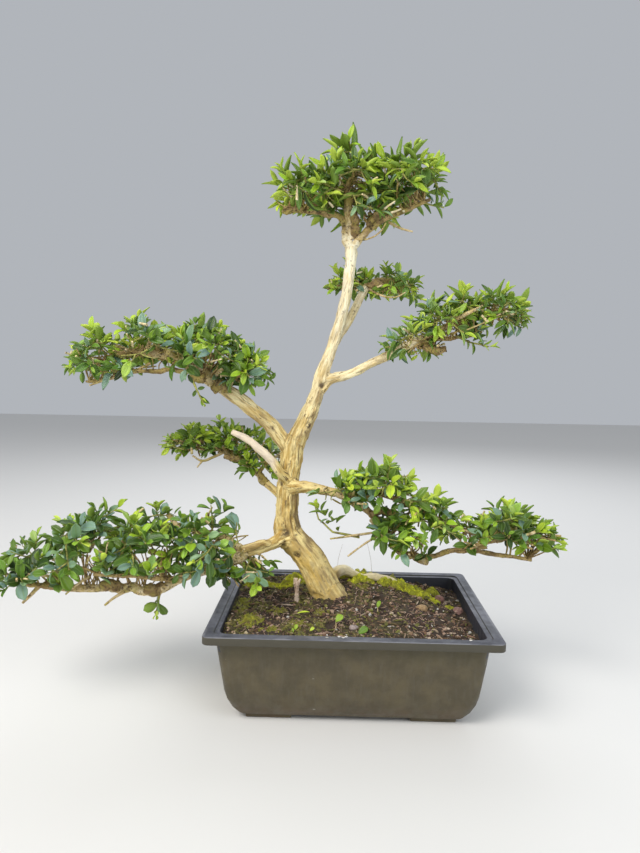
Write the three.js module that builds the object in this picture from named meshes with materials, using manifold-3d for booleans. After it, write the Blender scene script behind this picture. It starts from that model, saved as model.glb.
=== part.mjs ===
// A honeysuckle bonsai with clipped leafy pads, growing in a rectangular plastic training pot.
// Millimetres, +Z up, standing on z = 0. The measurements below are taken about the pot's centre.
import * as THREE from 'three';
import { mergeVertices } from 'three/addons/utils/BufferGeometryUtils.js';
import Module from 'manifold-3d';

const wasm = await Module();
wasm.setup();

// Driving dimensions

const gap = 0.3; // between pieces that touch

const pot = {
  width: 300,
  depth: 222,
  height: 100,
  lipHeight: 8,
  rimWidth: 15,
  ledgeWidth: 5,
  ledgeDrop: 1.5,
  lipRound: 1.2,
  wall: 3.5,
  floor: 4,
  floorFillet: 4,
  baseLift: 6,
  cornerRadius: 12,
  lipCornerRadius: 7,
  footLength: 48,
  footDepth: 28,
  footSpreadX: 110,
  footSpreadY: 76,
  drainRadius: 8,
  drainSpacing: 62,
};

// The outer wall from the lip down to the base: how far in from the lip's edge, and the height
const wallProfile = [[11, 92], [16, 52], [19, 32], [22, 20], [27, 11], [34, pot.baseLift]];

const soil = {
  level: 93,
  moundHeight: 10,
  moundX: -5,
  moundY: 45,
  moundReachX: 75,
  moundReachY: 48,
  rightDrop: 9,
  rightDropFrom: 50,
  crumb: 1.1,
};

const leaf = {
  length: 29,
  spread: 0.16,
  thickness: 1.3,
  fold: 0.14,
  droop: 0.1,
  openLeast: 0.65,
  openMost: 1.15,
  twist: 0.7,
  attempts: 6,
};
const shoot = {
  baseRadius: 1.3,
  tipRadius: 0.9,
  nodeLength: 1.6,
  footDepth: 0.32,
  reachLeast: 0.72,
  reachMost: 0.86,
  hiddenDepth: 0.72,
  highest: 0.97,
  lowest: -0.58,
  sag: 0.12,
};

// The rough tangle in the middle of a lobe, as a share of the lobe's size
const core = { size: 0.47, roughness: 0.28 };

// Limbs are lists of [x, y, z, radius]
const trunkLine = [
  [2, 20, 56, 13], [-12, 23, 78, 19], [-26, 25, 99, 20], [-46, 25, 137, 17.5], [-60, 25, 155, 17],
  [-74, 25, 171, 17.5], [-77, 25, 193, 13.5], [-76, 25, 215, 13.2], [-75, 25, 237, 13.2],
  [-72, 25, 259, 12.8], [-70, 25, 279, 13.5],
];
const leaderLine = [
  [-71, 25, 270, 12], [-62, 25, 292, 11.2], [-52, 25, 314, 9.7], [-44, 25, 335, 8.4], [-39, 25, 352, 8.4],
  [-31, 25, 378, 7], [-24, 25, 400, 7.1], [-14, 25, 436, 6.3], [-8, 25, 481, 6.3], [-7, 25, 503, 7],
];
const trunkLimbs = [
  [[-70, 25, 262, 9], [-95, 22, 298, 8.8], [-113, 18, 314, 8.4], [-132, 14, 329, 8.1], [-150, 10, 342, 7.5]],
  [[-74, 22, 234, 7], [-85, 6, 248, 5.6], [-92, 2, 260, 5.2], [-106, 0, 273, 4.8], [-121, -1, 285, 4.3],
    [-138, -2, 293, 3.7]],
  [[-76, 27, 204, 7], [-84, 46, 210, 5.4], [-104, 60, 224, 4.9]],
  [[-76, 25, 226, 8.5], [-64, 12, 229, 8], [-52, 8, 230, 6.4], [-37, 6, 228, 5.5], [-18, 2, 225, 4.9]],
  [[-72, 24, 172, 9], [-89, 5, 165, 7.2], [-103, -5, 161, 6.5], [-119, -14, 159, 6.2]],
  [[-92, 2, 164, 5], [-101, -8, 167, 4.6], [-124, -24, 164, 4.4]],
  [[-40, 25, 342, 7.5], [-30, 24, 352, 6.3], [-8, 20, 359, 5.5], [16, 15, 371, 5.1], [39, 10, 383, 5],
    [69, 5, 399, 4.8]],
  [[-26, 26, 392, 6], [-20, 29, 403, 5.3], [-9, 34, 419, 5], [1, 44, 441, 5], [12, 54, 462, 4.9]],
];
const roots = [
  [[-38, 24, 118, 12], [-20, 20, 101, 11], [-4, 15, 84, 8], [10, 10, 66, 5]],
  [[-30, 34, 104, 10], [-22, 52, 112, 6], [-6, 62, 115, 5], [12, 66, 108, 4.6], [28, 66, 92, 4],
    [36, 64, 80, 3.4]],
  [[-34, 18, 92, 11], [-48, -4, 76, 7], [-58, -26, 62, 4]],
];
const deadShoot = [[-61, 6, 78, 2.6], [-62, 5, 97, 2.9], [-63, 6, 112, 2.8], [-64, 8, 123, 2.2]];

// Leafy sprays. A lobe is a rounded mass that shoots fill: centre, half-widths in x and y, rise,
// fall and number of shoots. A leaf's shape is its width over its length.
const sprays = [
  {
    name: 'spray_apex',
    seed: 11,
    leafShape: 0.36,
    limbs: [
      [[-7, 25, 503, 6.5], [-12, 24, 518, 4.6], [-24, 22, 536, 4], [-50, 18, 542, 3.6], [-84, 14, 546, 2.8]],
      [[-7, 25, 503, 6.5], [2, 25, 518, 4.7], [20, 27, 536, 3.8], [48, 26, 550, 3.2], [80, 22, 562, 2.4]],
      [[2, 25, 518, 4], [4, 26, 545, 3.4], [2, 28, 575, 2.6], [8, 26, 600, 1.8]],
    ],
    lobes: [
      [-52, 18, 556, 44, 54, 36, 20, 5],
      [4, 26, 566, 54, 66, 58, 26, 7],
      [60, 22, 568, 42, 58, 38, 34, 5],
    ],
  },
  {
    name: 'spray_small_back',
    seed: 23,
    leafShape: 0.4,
    limbs: [
      [[12, 54, 462, 4.9], [22, 62, 470, 3.6], [44, 74, 473, 2.8], [64, 78, 472, 2]],
      [[12, 54, 462, 4], [4, 68, 466, 2.8], [-18, 80, 470, 2]],
    ],
    lobes: [
      [-4, 80, 466, 28, 32, 22, 14, 4],
      [42, 76, 464, 36, 36, 24, 24, 4],
    ],
  },
  {
    name: 'spray_right_middle',
    seed: 37,
    leafShape: 0.42,
    limbs: [
      [[69, 5, 399, 4.8], [98, 2, 413, 3.8], [128, 0, 424, 3], [154, -2, 432, 2]],
    ],
    lobes: [
      [62, 6, 391, 32, 34, 26, 22, 4],
      [100, 2, 416, 40, 42, 34, 28, 4],
      [142, -1, 426, 38, 38, 28, 30, 5],
    ],
  },
  {
    name: 'spray_upper_left',
    seed: 41,
    leafShape: 0.46,
    limbs: [
      [[-150, 10, 342, 7.5], [-169, 6, 358, 6.6], [-195, 0, 375, 5.4], [-222, -4, 379, 4], [-252, -8, 374, 3],
        [-280, -10, 369, 2]],
      [[-169, 6, 358, 3.6], [-206, -6, 362, 2.6], [-242, -12, 359, 2.4], [-274, -16, 350, 2.2],
        [-296, -18, 347, 1.6]],
      [[-150, 10, 342, 5], [-132, 8, 358, 3], [-124, 4, 370, 2]],
    ],
    lobes: [
      [-278, -10, 368, 42, 42, 34, 28, 5],
      [-224, -5, 378, 46, 54, 38, 22, 5],
      [-166, 0, 376, 46, 54, 36, 38, 5],
      [-126, 5, 358, 28, 42, 30, 34, 4],
    ],
  },
  {
    name: 'spray_back_left',
    seed: 59,
    leafShape: 0.44,
    limbs: [
      [[-104, 60, 224, 4.9], [-118, 69, 236, 4.3], [-142, 82, 253, 3.8], [-175, 92, 262, 3],
        [-208, 96, 262, 2]],
    ],
    lobes: [
      [-206, 92, 262, 32, 40, 26, 26, 4],
      [-160, 90, 268, 36, 38, 28, 20, 2],
      [-114, 76, 250, 26, 32, 36, 34, 3],
    ],
  },
  {
    name: 'spray_right_lower',
    seed: 68,
    leafShape: 0.48,
    limbs: [
      [[-18, 2, 225, 4.9], [-1, -2, 217, 4.7], [17, -6, 207, 4.6], [37, -10, 186, 4.4], [62, -14, 157, 4],
        [89, -16, 158, 3.4], [110, -18, 167, 3], [140, -20, 167, 2.8], [169, -21, 163, 2.6],
        [194, -22, 162, 2.2]],
      [[-1, -2, 217, 3.6], [28, -6, 228, 3], [58, -6, 216, 2.6], [94, -4, 200, 2.4], [124, -4, 188, 2.2],
        [156, -8, 180, 1.8]],
      [[37, -10, 186, 3], [12, -14, 177, 2], [-26, -16, 173, 1.6]],
    ],
    shoots: [
      [[8, -13, 178], [-40, -12, 200]],
      [[40, -10, 182], [26, -22, 164]],
      [[62, -14, 157], [86, -30, 156]],
    ],
    lobes: [
      [0, -4, 224, 36, 42, 26, 20, 3],
      [40, -8, 230, 42, 50, 34, 26, 5],
      [80, -8, 200, 32, 40, 32, 32, 3],
      [132, -16, 184, 32, 34, 24, 18, 3],
      [172, -18, 188, 36, 40, 32, 24, 4],
      [204, -20, 182, 26, 32, 20, 14, 4],
    ],
  },
  {
    name: 'spray_lower_left',
    seed: 83,
    leafShape: 0.52,
    limbs: [
      [[-119, -14, 159, 6.2], [-146, -26, 148, 5.4], [-189, -40, 134, 5.2], [-213, -46, 124, 5.4],
        [-235, -50, 128, 5.2], [-262, -54, 129, 4.8], [-295, -58, 128, 4], [-332, -60, 131, 3],
        [-368, -60, 134, 2]],
      [[-119, -14, 159, 5], [-150, -10, 176, 3.8], [-200, 0, 184, 3.2], [-250, 0, 182, 2.6],
        [-290, -6, 178, 2]],
    ],
    shoots: [[[-206, -45, 126], [-207, -49, 106]]],
    lobes: [
      [-344, -56, 140, 42, 40, 40, 26, 5],
      [-286, -46, 158, 46, 54, 54, 38, 5],
      [-222, -40, 160, 48, 60, 48, 36, 5],
      [-162, -28, 162, 44, 58, 50, 44, 5],
      [-118, -18, 152, 32, 44, 34, 34, 3],
    ],
  },
];

// Stones lying part sunk in the soil: centre, half sizes, turn in degrees and name
const pebbles = [
  { name: 'pebble_tan', at: [82, 3], size: [8, 5.5, 4.6], turn: 20, color: 0xa98a63 },
  { name: 'pebble_pink', at: [126, 12], size: [6.5, 6, 6.2], turn: 70, color: 0xa77f7c },
  { name: 'pebble_rose', at: [110, 48], size: [7.5, 6, 4.5], turn: 130, color: 0x9c7a74 },
  { name: 'pebble_grey', at: [2, -62], size: [5.2, 4, 3.2], turn: 10, color: 0x8d8680 },
  { name: 'pebble_brown', at: [88, -54], size: [5, 4, 3.4], turn: 55, color: 0x9a8468 },
];

// Seedlings on the soil: foot, leaf direction in degrees, stem height, leaf length and width
const seedlings = [
  { name: 'seedling_front', at: [-18, -62], turn: 40, stem: 9, length: 11, width: 7.5, color: 0x8fc04a },
  { name: 'seedling_right', at: [30, -11], turn: 75, stem: 5, length: 9, width: 5.5, color: 0x86bb4c },
];

const finish = {
  potPlastic: { color: 0x55523f, roughness: 0.62, metalness: 0 },
  soilCrumb: { color: 0x4a3a2c, roughness: 1, metalness: 0 },
  bark: { color: 0xc2a06a, roughness: 0.85, metalness: 0 },
  leafGreen: { color: 0x3f6b2c, roughness: 0.45, metalness: 0 },
  deadWood: { color: 0xb39a78, roughness: 0.9, metalness: 0 },
};

// Shared helpers

function seededRandom(seed) {
  let state = seed >>> 0;
  return () => {
    state = (state + 0x6d2b79f5) >>> 0;
    let mixed = Math.imul(state ^ (state >>> 15), state | 1);
    mixed ^= mixed + Math.imul(mixed ^ (mixed >>> 7), mixed | 61);
    return ((mixed ^ (mixed >>> 14)) >>> 0) / 4294967296;
  };
}

function toSolid(geometry) {
  const bare = geometry.clone();
  bare.deleteAttribute('normal');
  bare.deleteAttribute('uv');
  const merged = mergeVertices(bare, 1e-4);
  return new wasm.Manifold(new wasm.Mesh({
    numProp: 3,
    vertProperties: new Float32Array(merged.attributes.position.array),
    triVerts: new Uint32Array(merged.index.array),
  }));
}

function join(solids) {
  return solids.reduce((whole, next) => whole.add(next));
}

function largestBody(solid) {
  const bodies = solid.decompose();
  return bodies.reduce((best, body) => (body.volume() > best.volume() ? body : best));
}

function toMesh(name, solid, look) {
  const { vertProperties, triVerts } = largestBody(solid).simplify(0.02).getMesh();
  const geometry = new THREE.BufferGeometry();
  geometry.setAttribute('position', new THREE.Float32BufferAttribute(vertProperties, 3));
  geometry.setIndex(new THREE.Uint32BufferAttribute(triVerts, 1));
  geometry.computeVertexNormals();
  const mesh = new THREE.Mesh(geometry, new THREE.MeshStandardMaterial(look));
  mesh.name = name;
  return mesh;
}

// A closed skin over rings that all have the same number of points
function loft(rings) {
  const count = rings[0].length;
  const points = rings.flat();
  const faces = [];
  for (let ring = 0; ring < rings.length - 1; ring += 1) {
    for (let i = 0; i < count; i += 1) {
      const a = ring * count + i;
      const b = ring * count + ((i + 1) % count);
      faces.push(a, b, b + count, a, b + count, a + count);
    }
  }
  const last = (rings.length - 1) * count;
  for (let i = 1; i < count - 1; i += 1) {
    faces.push(0, i + 1, i);
    faces.push(last, last + i, last + i + 1);
  }
  const geometry = new THREE.BufferGeometry().setFromPoints(points);
  geometry.setIndex(faces);
  return geometry;
}

// A tapering limb through its [x, y, z, radius] points, swollen by grow for the hole it sits in
function limb(line, sides, steps, grow = 0) {
  const curve = new THREE.CatmullRomCurve3(line.map(([x, y, z]) => new THREE.Vector3(x, y, z)));
  const radii = new THREE.CatmullRomCurve3(line.map(([, , , r], i) => new THREE.Vector3(i, r, 0)));
  const frames = curve.computeFrenetFrames(steps);
  const rings = [];
  for (let step = 0; step <= steps; step += 1) {
    const fraction = step / steps;
    const along = curve.getUtoTmapping(fraction);
    const radius = radii.getPoint(along).y + grow;
    const centre = curve.getPoint(along);
    if (step === 0) centre.addScaledVector(frames.tangents[0], -grow);
    if (step === steps) centre.addScaledVector(frames.tangents[steps], grow);
    const ring = [];
    for (let side = 0; side < sides; side += 1) {
      const angle = (side / sides) * Math.PI * 2;
      ring.push(centre.clone()
        .addScaledVector(frames.normals[step], Math.cos(angle) * radius)
        .addScaledVector(frames.binormals[step], Math.sin(angle) * radius));
    }
    rings.push(ring);
  }
  return toSolid(loft(rings));
}

// The pot

function roundedRectangle(inset, z, radius) {
  const x = pot.width / 2 - inset - radius;
  const y = pot.depth / 2 - inset - radius;
  const outline = new THREE.Path();
  outline.absarc(x, y, radius, 0, Math.PI / 2);
  outline.absarc(-x, y, radius, Math.PI / 2, Math.PI);
  outline.absarc(-x, -y, radius, Math.PI, Math.PI * 1.5);
  outline.absarc(x, -y, radius, Math.PI * 1.5, Math.PI * 2);
  const cornerSteps = 3;
  return outline.getPoints(cornerSteps).map((point) => new THREE.Vector3(point.x, point.y, z));
}

function potOutside() {
  const lipBottom = pot.height - pot.lipHeight;
  const wallRings = wallProfile.map(([inset, z]) => roundedRectangle(inset, z, pot.cornerRadius));
  return toSolid(loft([
    ...wallRings.reverse(),
    roundedRectangle(pot.lipRound, lipBottom, pot.lipCornerRadius),
    roundedRectangle(0, lipBottom + pot.lipRound, pot.lipCornerRadius),
    roundedRectangle(0, pot.height - pot.lipRound, pot.lipCornerRadius),
    roundedRectangle(pot.lipRound, pot.height, pot.lipCornerRadius),
  ]));
}

// The space inside the walls, drawn in by inset: the pot's hollow, and with an inset the soil's outline
function potInside(inset, top) {
  const floorTop = pot.baseLift + pot.floor;
  const rings = wallProfile
    .filter(([, z]) => z > floorTop + pot.floorFillet)
    .map(([edge, z]) => roundedRectangle(edge + pot.wall + inset, z, pot.cornerRadius - pot.wall));
  const [lowEdge] = wallProfile[wallProfile.length - 1];
  rings.push(roundedRectangle(lowEdge + inset, floorTop + inset, pot.cornerRadius - pot.wall));
  rings.reverse();
  rings.push(roundedRectangle(pot.rimWidth + inset, top, pot.cornerRadius - pot.wall));
  return toSolid(loft(rings));
}

function potLedge() {
  const edge = pot.rimWidth - pot.ledgeWidth;
  return toSolid(loft([
    roundedRectangle(edge + pot.ledgeDrop, pot.height - pot.ledgeDrop, pot.lipCornerRadius),
    roundedRectangle(edge, pot.height + 1, pot.lipCornerRadius),
  ]));
}

function potFeet() {
  const feet = [];
  const overlap = 3;
  for (const sideX of [-1, 1]) {
    for (const sideY of [-1, 1]) {
      const foot = new THREE.BoxGeometry(pot.footLength, pot.footDepth, pot.baseLift + overlap);
      foot.translate(
        sideX * (pot.footSpreadX - pot.footLength / 2),
        sideY * (pot.footSpreadY - pot.footDepth / 2),
        (pot.baseLift + overlap) / 2,
      );
      feet.push(toSolid(foot));
    }
  }
  return join(feet);
}

function potDrains() {
  const drains = [-1, 0, 1].map((place) => {
    const hole = new THREE.CylinderGeometry(pot.drainRadius, pot.drainRadius, 20, 8);
    hole.rotateX(Math.PI / 2);
    hole.translate(place * pot.drainSpacing, 0, pot.baseLift + 2);
    return toSolid(hole);
  });
  return join(drains);
}

function makePot() {
  return potOutside()
    .add(potFeet())
    .subtract(potInside(0, pot.height + 1))
    .subtract(potLedge())
    .subtract(potDrains());
}

// Wood

function makeTrunk(grow = 0) {
  return join([
    limb(trunkLine, 10, 14, grow),
    limb(leaderLine, 8, 10, grow),
    ...trunkLimbs.map((line) => limb(line, 6, line.length + 1, grow)),
    ...roots.map((line) => limb(line, 6, line.length, grow)),
  ]);
}

// Soil

function soilHeight(x, y) {
  const mound = soil.moundHeight
    * Math.exp(-(((x - soil.moundX) / soil.moundReachX) ** 2) - ((y - soil.moundY) / soil.moundReachY) ** 2);
  const right = soil.rightDrop * THREE.MathUtils.smoothstep(x, soil.rightDropFrom, pot.width / 2 - 20);
  const crumbs = soil.crumb * (Math.sin(x * 0.31 + y * 0.17) + Math.sin(y * 0.43 - x * 0.12 + 1));
  return soil.level + mound - right + crumbs;
}

function soilBlock() {
  const top = new THREE.BoxGeometry(pot.width - 20, pot.depth - 20, pot.height, 9, 6, 1);
  top.translate(0, 0, pot.height / 2);
  const position = top.attributes.position;
  for (let i = 0; i < position.count; i += 1) {
    if (position.getZ(i) > pot.height / 2) {
      position.setZ(i, soilHeight(position.getX(i), position.getY(i)));
    }
  }
  return toSolid(top).intersect(potInside(gap, pot.height + 6));
}

function makeSoil(sunkSolids) {
  return sunkSolids.reduce((block, sunk) => block.subtract(sunk), soilBlock());
}

// Stones and seedlings

function makePebble({ at: [x, y], size, turn }, grow = 0) {
  const stone = new THREE.DodecahedronGeometry(1.05, 0);
  stone.scale(size[0] + grow, size[1] + grow, size[2] + grow);
  stone.rotateZ(THREE.MathUtils.degToRad(turn));
  stone.translate(x, y, soilHeight(x, y) + size[2] * 0.25);
  return toSolid(stone);
}

function seedlingStem({ at: [x, y], stem }, grow = 0) {
  const foot = soilHeight(x, y) - 5;
  return limb([[x, y, foot, 0.9], [x - 1, y, foot + 5 + stem, 0.8]], 6, 2, grow);
}

function makeSeedling(plant) {
  const { at: [x, y], stem, turn, length, width } = plant;
  const angle = THREE.MathUtils.degToRad(turn);
  const base = new THREE.Vector3(x - 1, y, soilHeight(x, y) + stem - 1);
  const direction = new THREE.Vector3(Math.cos(angle), -0.3, Math.sin(angle)).normalize();
  const side = new THREE.Vector3(-Math.sin(angle), 0, Math.cos(angle));
  const normal = new THREE.Vector3().crossVectors(direction, side).normalize();
  return seedlingStem(plant).add(blade({ base, direction, side, normal, length, width }));
}

// Leaves

// The corners of one blade: down the left edge, the tip, back up the right edge, then the middle
// over and under. It folds up along the rib and droops to the tip.
function bladeCorners(pose, from = 0) {
  const { base, direction, side, normal, length, width } = pose;
  const place = (along, across, lift) => {
    const height = lift - leaf.droop * length * along * along + leaf.fold * width * Math.abs(across);
    return base.clone()
      .addScaledVector(direction, along * length)
      .addScaledVector(side, across * width)
      .addScaledVector(normal, height);
  };
  return {
    root: place(from, 0, 0),
    edge: [
      place(0.32, -0.42, 0),
      place(0.7, -0.44, 0),
      place(1, 0, 0),
      place(0.7, 0.44, 0),
      place(0.32, 0.42, 0),
    ],
    over: place(0.45, 0, leaf.thickness / 2),
    under: place(0.45, 0, -leaf.thickness / 2),
  };
}

// A blade on its own: a fan of triangles over and under the same outline
function blade(pose, from = 0) {
  const { root, edge, over, under } = bladeCorners(pose, from);
  const rim = [root, ...edge];
  const faces = [];
  for (let i = 0; i < rim.length; i += 1) {
    const next = (i + 1) % rim.length;
    faces.push(rim.length, i, next, rim.length + 1, next, i);
  }
  const geometry = new THREE.BufferGeometry().setFromPoints([...rim, over, under]);
  geometry.setIndex(faces);
  return toSolid(geometry);
}

// A square twig along a curve with pairs of leaves. Each leaf grows out of one side face of the
// twig: the face is taken away and the leaf's skin is sewn to its four corners.
function leafyTwig(stops, leavesByFace) {
  const points = stops.flatMap(({ ring }) => ring);
  const faces = [];
  stops.slice(1).forEach((stop, segment) => {
    for (let side = 0; side < 4; side += 1) {
      const q0 = segment * 4 + side;
      const q1 = segment * 4 + ((side + 1) % 4);
      const [q2, q3] = [q1 + 4, q0 + 4];
      const pose = leavesByFace.get(`${segment}:${side}`);
      if (!pose) {
        faces.push(q0, q1, q2, q0, q2, q3);
        continue;
      }
      const { edge, over, under } = bladeCorners(pose);
      const first = points.length;
      points.push(...edge, over, under);
      const [l1, l2, tip, r2, r1, top, bottom] = [0, 1, 2, 3, 4, 5, 6].map((i) => first + i);
      const upper = [q3, l1, l2, tip, r2, r1, q2];
      const lower = [q0, l1, l2, tip, r2, r1, q1];
      upper.forEach((corner, i) => faces.push(top, corner, upper[(i + 1) % 7]));
      lower.forEach((corner, i) => faces.push(bottom, lower[(i + 1) % 7], corner));
      faces.push(q3, q0, l1, q1, q2, r1);
    }
  });
  const last = (stops.length - 1) * 4;
  faces.push(0, 2, 1, 0, 3, 2, last, last + 1, last + 2, last, last + 2, last + 3);
  const geometry = new THREE.BufferGeometry().setFromPoints(points);
  geometry.setIndex(faces);
  return toSolid(geometry);
}

// The tangle of fine twigs in the middle of a lobe, which the leaves stand out of
function lobeCore([x, y, z, halfX, halfY, rise, fall], random) {
  const ball = new THREE.OctahedronGeometry(1, 1);
  ball.deleteAttribute('normal');
  ball.deleteAttribute('uv');
  const tangle = mergeVertices(ball, 1e-4);
  const { position } = tangle.attributes;
  for (let i = 0; i < position.count; i += 1) {
    const size = core.size * (1 + (random() - 0.5) * 2 * core.roughness);
    const up = position.getZ(i);
    position.setXYZ(
      i,
      x + position.getX(i) * halfX * size,
      y + position.getY(i) * halfY * size,
      z + up * (up > 0 ? rise : fall) * size,
    );
  }
  return toSolid(tangle);
}

// A short stem from the nearest limb to each core that no limb passes through
function coreStems(spray) {
  const bones = spray.limbs.flat();
  const fromLobe = (lobe, [x, y, z]) => Math.hypot(x - lobe[0], y - lobe[1], z - lobe[2]);
  return spray.lobes.flatMap((lobe) => {
    const near = bones.reduce((best, bone) => (fromLobe(lobe, bone) < fromLobe(lobe, best) ? bone : best));
    if (lobeDepth(lobe, new THREE.Vector3(...near)) < core.size * 0.5) return [];
    const [x, y, z] = near;
    return [limb([[x, y, z, 2], [lobe[0], lobe[1], lobe[2], 1.6]], 4, 1)];
  });
}

// How far out a point lies in a lobe: 0 in the middle, 1 on its surface
function lobeDepth([x, y, z, halfX, halfY, rise, fall], point) {
  const up = point.z - z;
  return Math.hypot((point.x - x) / halfX, (point.y - y) / halfY, up / (up > 0 ? rise : fall));
}

// Shoots spread evenly over a lobe by the golden angle, fewer of them below than above
function lobeShoots(lobe, random) {
  const [x, y, z, halfX, halfY, rise, fall, count] = lobe;
  const goldenAngle = Math.PI * (3 - Math.sqrt(5));
  const start = random() * Math.PI * 2;
  return Array.from({ length: count }, (_, i) => {
    const up = THREE.MathUtils.lerp(shoot.highest, shoot.lowest, (i + 0.5) / count);
    const ring = Math.sqrt(1 - up * up);
    const turn = start + goldenAngle * i;
    const reach = THREE.MathUtils.lerp(shoot.reachLeast, shoot.reachMost, random());
    const tip = new THREE.Vector3(
      x + Math.cos(turn) * ring * halfX * reach,
      y + Math.sin(turn) * ring * halfY * reach,
      z + up * (up > 0 ? rise : fall) * reach,
    );
    const foot = new THREE.Vector3(x, y, z).lerp(tip, shoot.footDepth);
    return [foot, tip];
  });
}

function allShoots(spray, random) {
  const shoots = spray.lobes.flatMap((lobe) => {
    const others = spray.lobes.filter((other) => other !== lobe);
    return lobeShoots(lobe, random)
      .filter(([, tip]) => others.every((other) => lobeDepth(other, tip) > shoot.hiddenDepth));
  });
  const byHand = (spray.shoots ?? []).map((ends) => ends.map((end) => new THREE.Vector3(...end)));
  return [...shoots, ...byHand];
}

function boxesMeet(one, other) {
  return [0, 1, 2].every((axis) => one.min[axis] < other.max[axis] && other.min[axis] < one.max[axis]);
}

function meets(solid, others) {
  const box = solid.boundingBox();
  return others.some((other) => boxesMeet(box, other.boundingBox()) && !solid.intersect(other).isEmpty());
}

// A shoot bows up from its side branch to the tip
function shootCurve(start, tip) {
  const bend = start.clone().lerp(tip, 0.55);
  bend.z -= shoot.sag * start.distanceTo(tip);
  return new THREE.QuadraticBezierCurve3(start, bend, tip);
}

// A square ring of the shoot, with the directions that its leaves need
function shootStop(curve, t, roll) {
  const ahead = curve.getTangent(t);
  const lower = curve.v1.clone().sub(curve.v0);
  const upper = curve.v2.clone().sub(curve.v1);
  const across = lower.cross(upper).normalize().applyAxisAngle(ahead, roll);
  const around = new THREE.Vector3().crossVectors(ahead, across);
  const half = THREE.MathUtils.lerp(shoot.baseRadius, shoot.tipRadius, t);
  const centre = curve.getPoint(t);
  const ring = [[1, -1], [1, 1], [-1, 1], [-1, -1]].map(([a, b]) => centre.clone()
    .addScaledVector(across, a * half).addScaledVector(around, b * half));
  return { ring, ahead, across, around };
}

// Where one leaf of a pair points and how it is twisted to face the light
function leafPose(stops, segment, side, spray, random) {
  const [lower, upper] = [stops[segment], stops[segment + 1]];
  const corners = [lower, upper].flatMap(({ ring }) => [ring[side], ring[(side + 1) % 4]]);
  const base = corners.reduce((sum, corner) => sum.add(corner), new THREE.Vector3()).divideScalar(4);
  const out = lower.across.clone().applyAxisAngle(lower.ahead, side * Math.PI / 2);
  const open = THREE.MathUtils.lerp(leaf.openLeast, leaf.openMost, random());
  const direction = lower.ahead.clone().multiplyScalar(Math.cos(open)).addScaledVector(out, Math.sin(open));
  direction.z += 0.1;
  direction.normalize();
  const twist = (random() - 0.5) * 2 * leaf.twist;
  const level = new THREE.Vector3().crossVectors(lower.ahead, out);
  level.addScaledVector(direction, -level.dot(direction)).normalize().applyAxisAngle(direction, twist);
  const length = leaf.length * (1 + (random() - 0.5) * 2 * leaf.spread);
  return {
    base,
    direction,
    side: level,
    normal: new THREE.Vector3().crossVectors(direction, level),
    length,
    width: length * spray.leafShape,
  };
}

// The wood and leaves of one spray as one solid. A leaf that would cross another leaf or a
// neighbour is bent to another side, and left off where no side is clear.
function makeSpray(spray, neighbours) {
  const random = seededRandom(spray.seed);
  const wood = [...spray.limbs.map((line) => limb(line, 5, line.length)), ...coreStems(spray)];
  const cores = spray.lobes.map((lobe) => lobeCore(lobe, random));
  const twigs = [];
  const guards = [];
  for (const [foot, tip] of allShoots(spray, random)) {
    const curve = shootCurve(foot, tip);
    const node = shoot.nodeLength / curve.getLength();
    const roll = random() * Math.PI;
    const stops = [0, 1 - 2 * node, 1 - node, 1].map((t) => shootStop(curve, t, roll));
    const bare = leafyTwig(stops, new Map());
    if (meets(bare, neighbours)) continue;
    const leaves = new Map();
    for (const segment of [1, 2]) {
      for (const side of [segment - 1, segment + 1]) {
        for (let attempt = 0; attempt < leaf.attempts; attempt += 1) {
          const pose = leafPose(stops, segment, side, spray, random);
          const guard = blade(pose, 0.12);
          if (!meets(guard, [...guards, ...wood, ...cores, ...twigs, ...neighbours])) {
            leaves.set(`${segment}:${side}`, pose);
            guards.push(guard);
            break;
          }
        }
      }
    }
    twigs.push(leafyTwig(stops, leaves));
  }
  const all = wasm.Manifold.union([...wood, ...cores, ...twigs]);
  return all.simplify(0.15);
}

// The whole plant in its pot

const group = new THREE.Group();
const potSolid = makePot();
const trunk = makeTrunk();
const trunkSpace = makeTrunk(gap);
const shootSolid = limb(deadShoot, 7, 6);
const sunk = [
  trunkSpace,
  limb(deadShoot, 7, 6, gap),
  ...pebbles.map((stone) => makePebble(stone, gap)),
  ...seedlings.map((plant) => seedlingStem(plant, gap)),
];
group.add(toMesh('pot', potSolid, finish.potPlastic));
group.add(toMesh('soil', makeSoil(sunk), finish.soilCrumb));
group.add(toMesh('trunk', trunk, finish.bark));
group.add(toMesh('dead_shoot', shootSolid, finish.deadWood));
for (const stone of pebbles) {
  group.add(toMesh(stone.name, makePebble(stone), { color: stone.color, roughness: 0.9, metalness: 0 }));
}
for (const plant of seedlings) {
  group.add(toMesh(plant.name, makeSeedling(plant), { color: plant.color, roughness: 0.5, metalness: 0 }));
}
const neighbours = [potSolid, trunkSpace];
for (const spray of sprays) {
  const cleared = largestBody(makeSpray(spray, neighbours).subtract(trunkSpace));
  neighbours.push(cleared);
  group.add(toMesh(spray.name, cleared, finish.leafGreen));
}

// The origin is under the middle of the whole plant, on the surface that the feet stand on
const middle = new THREE.Box3().setFromObject(group).getCenter(new THREE.Vector3());
group.position.set(-middle.x, -middle.y, 0);

export default group;
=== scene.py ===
import math
import random

import bpy
import numpy as np
from mathutils import Matrix, Vector, kdtree, noise


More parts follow.
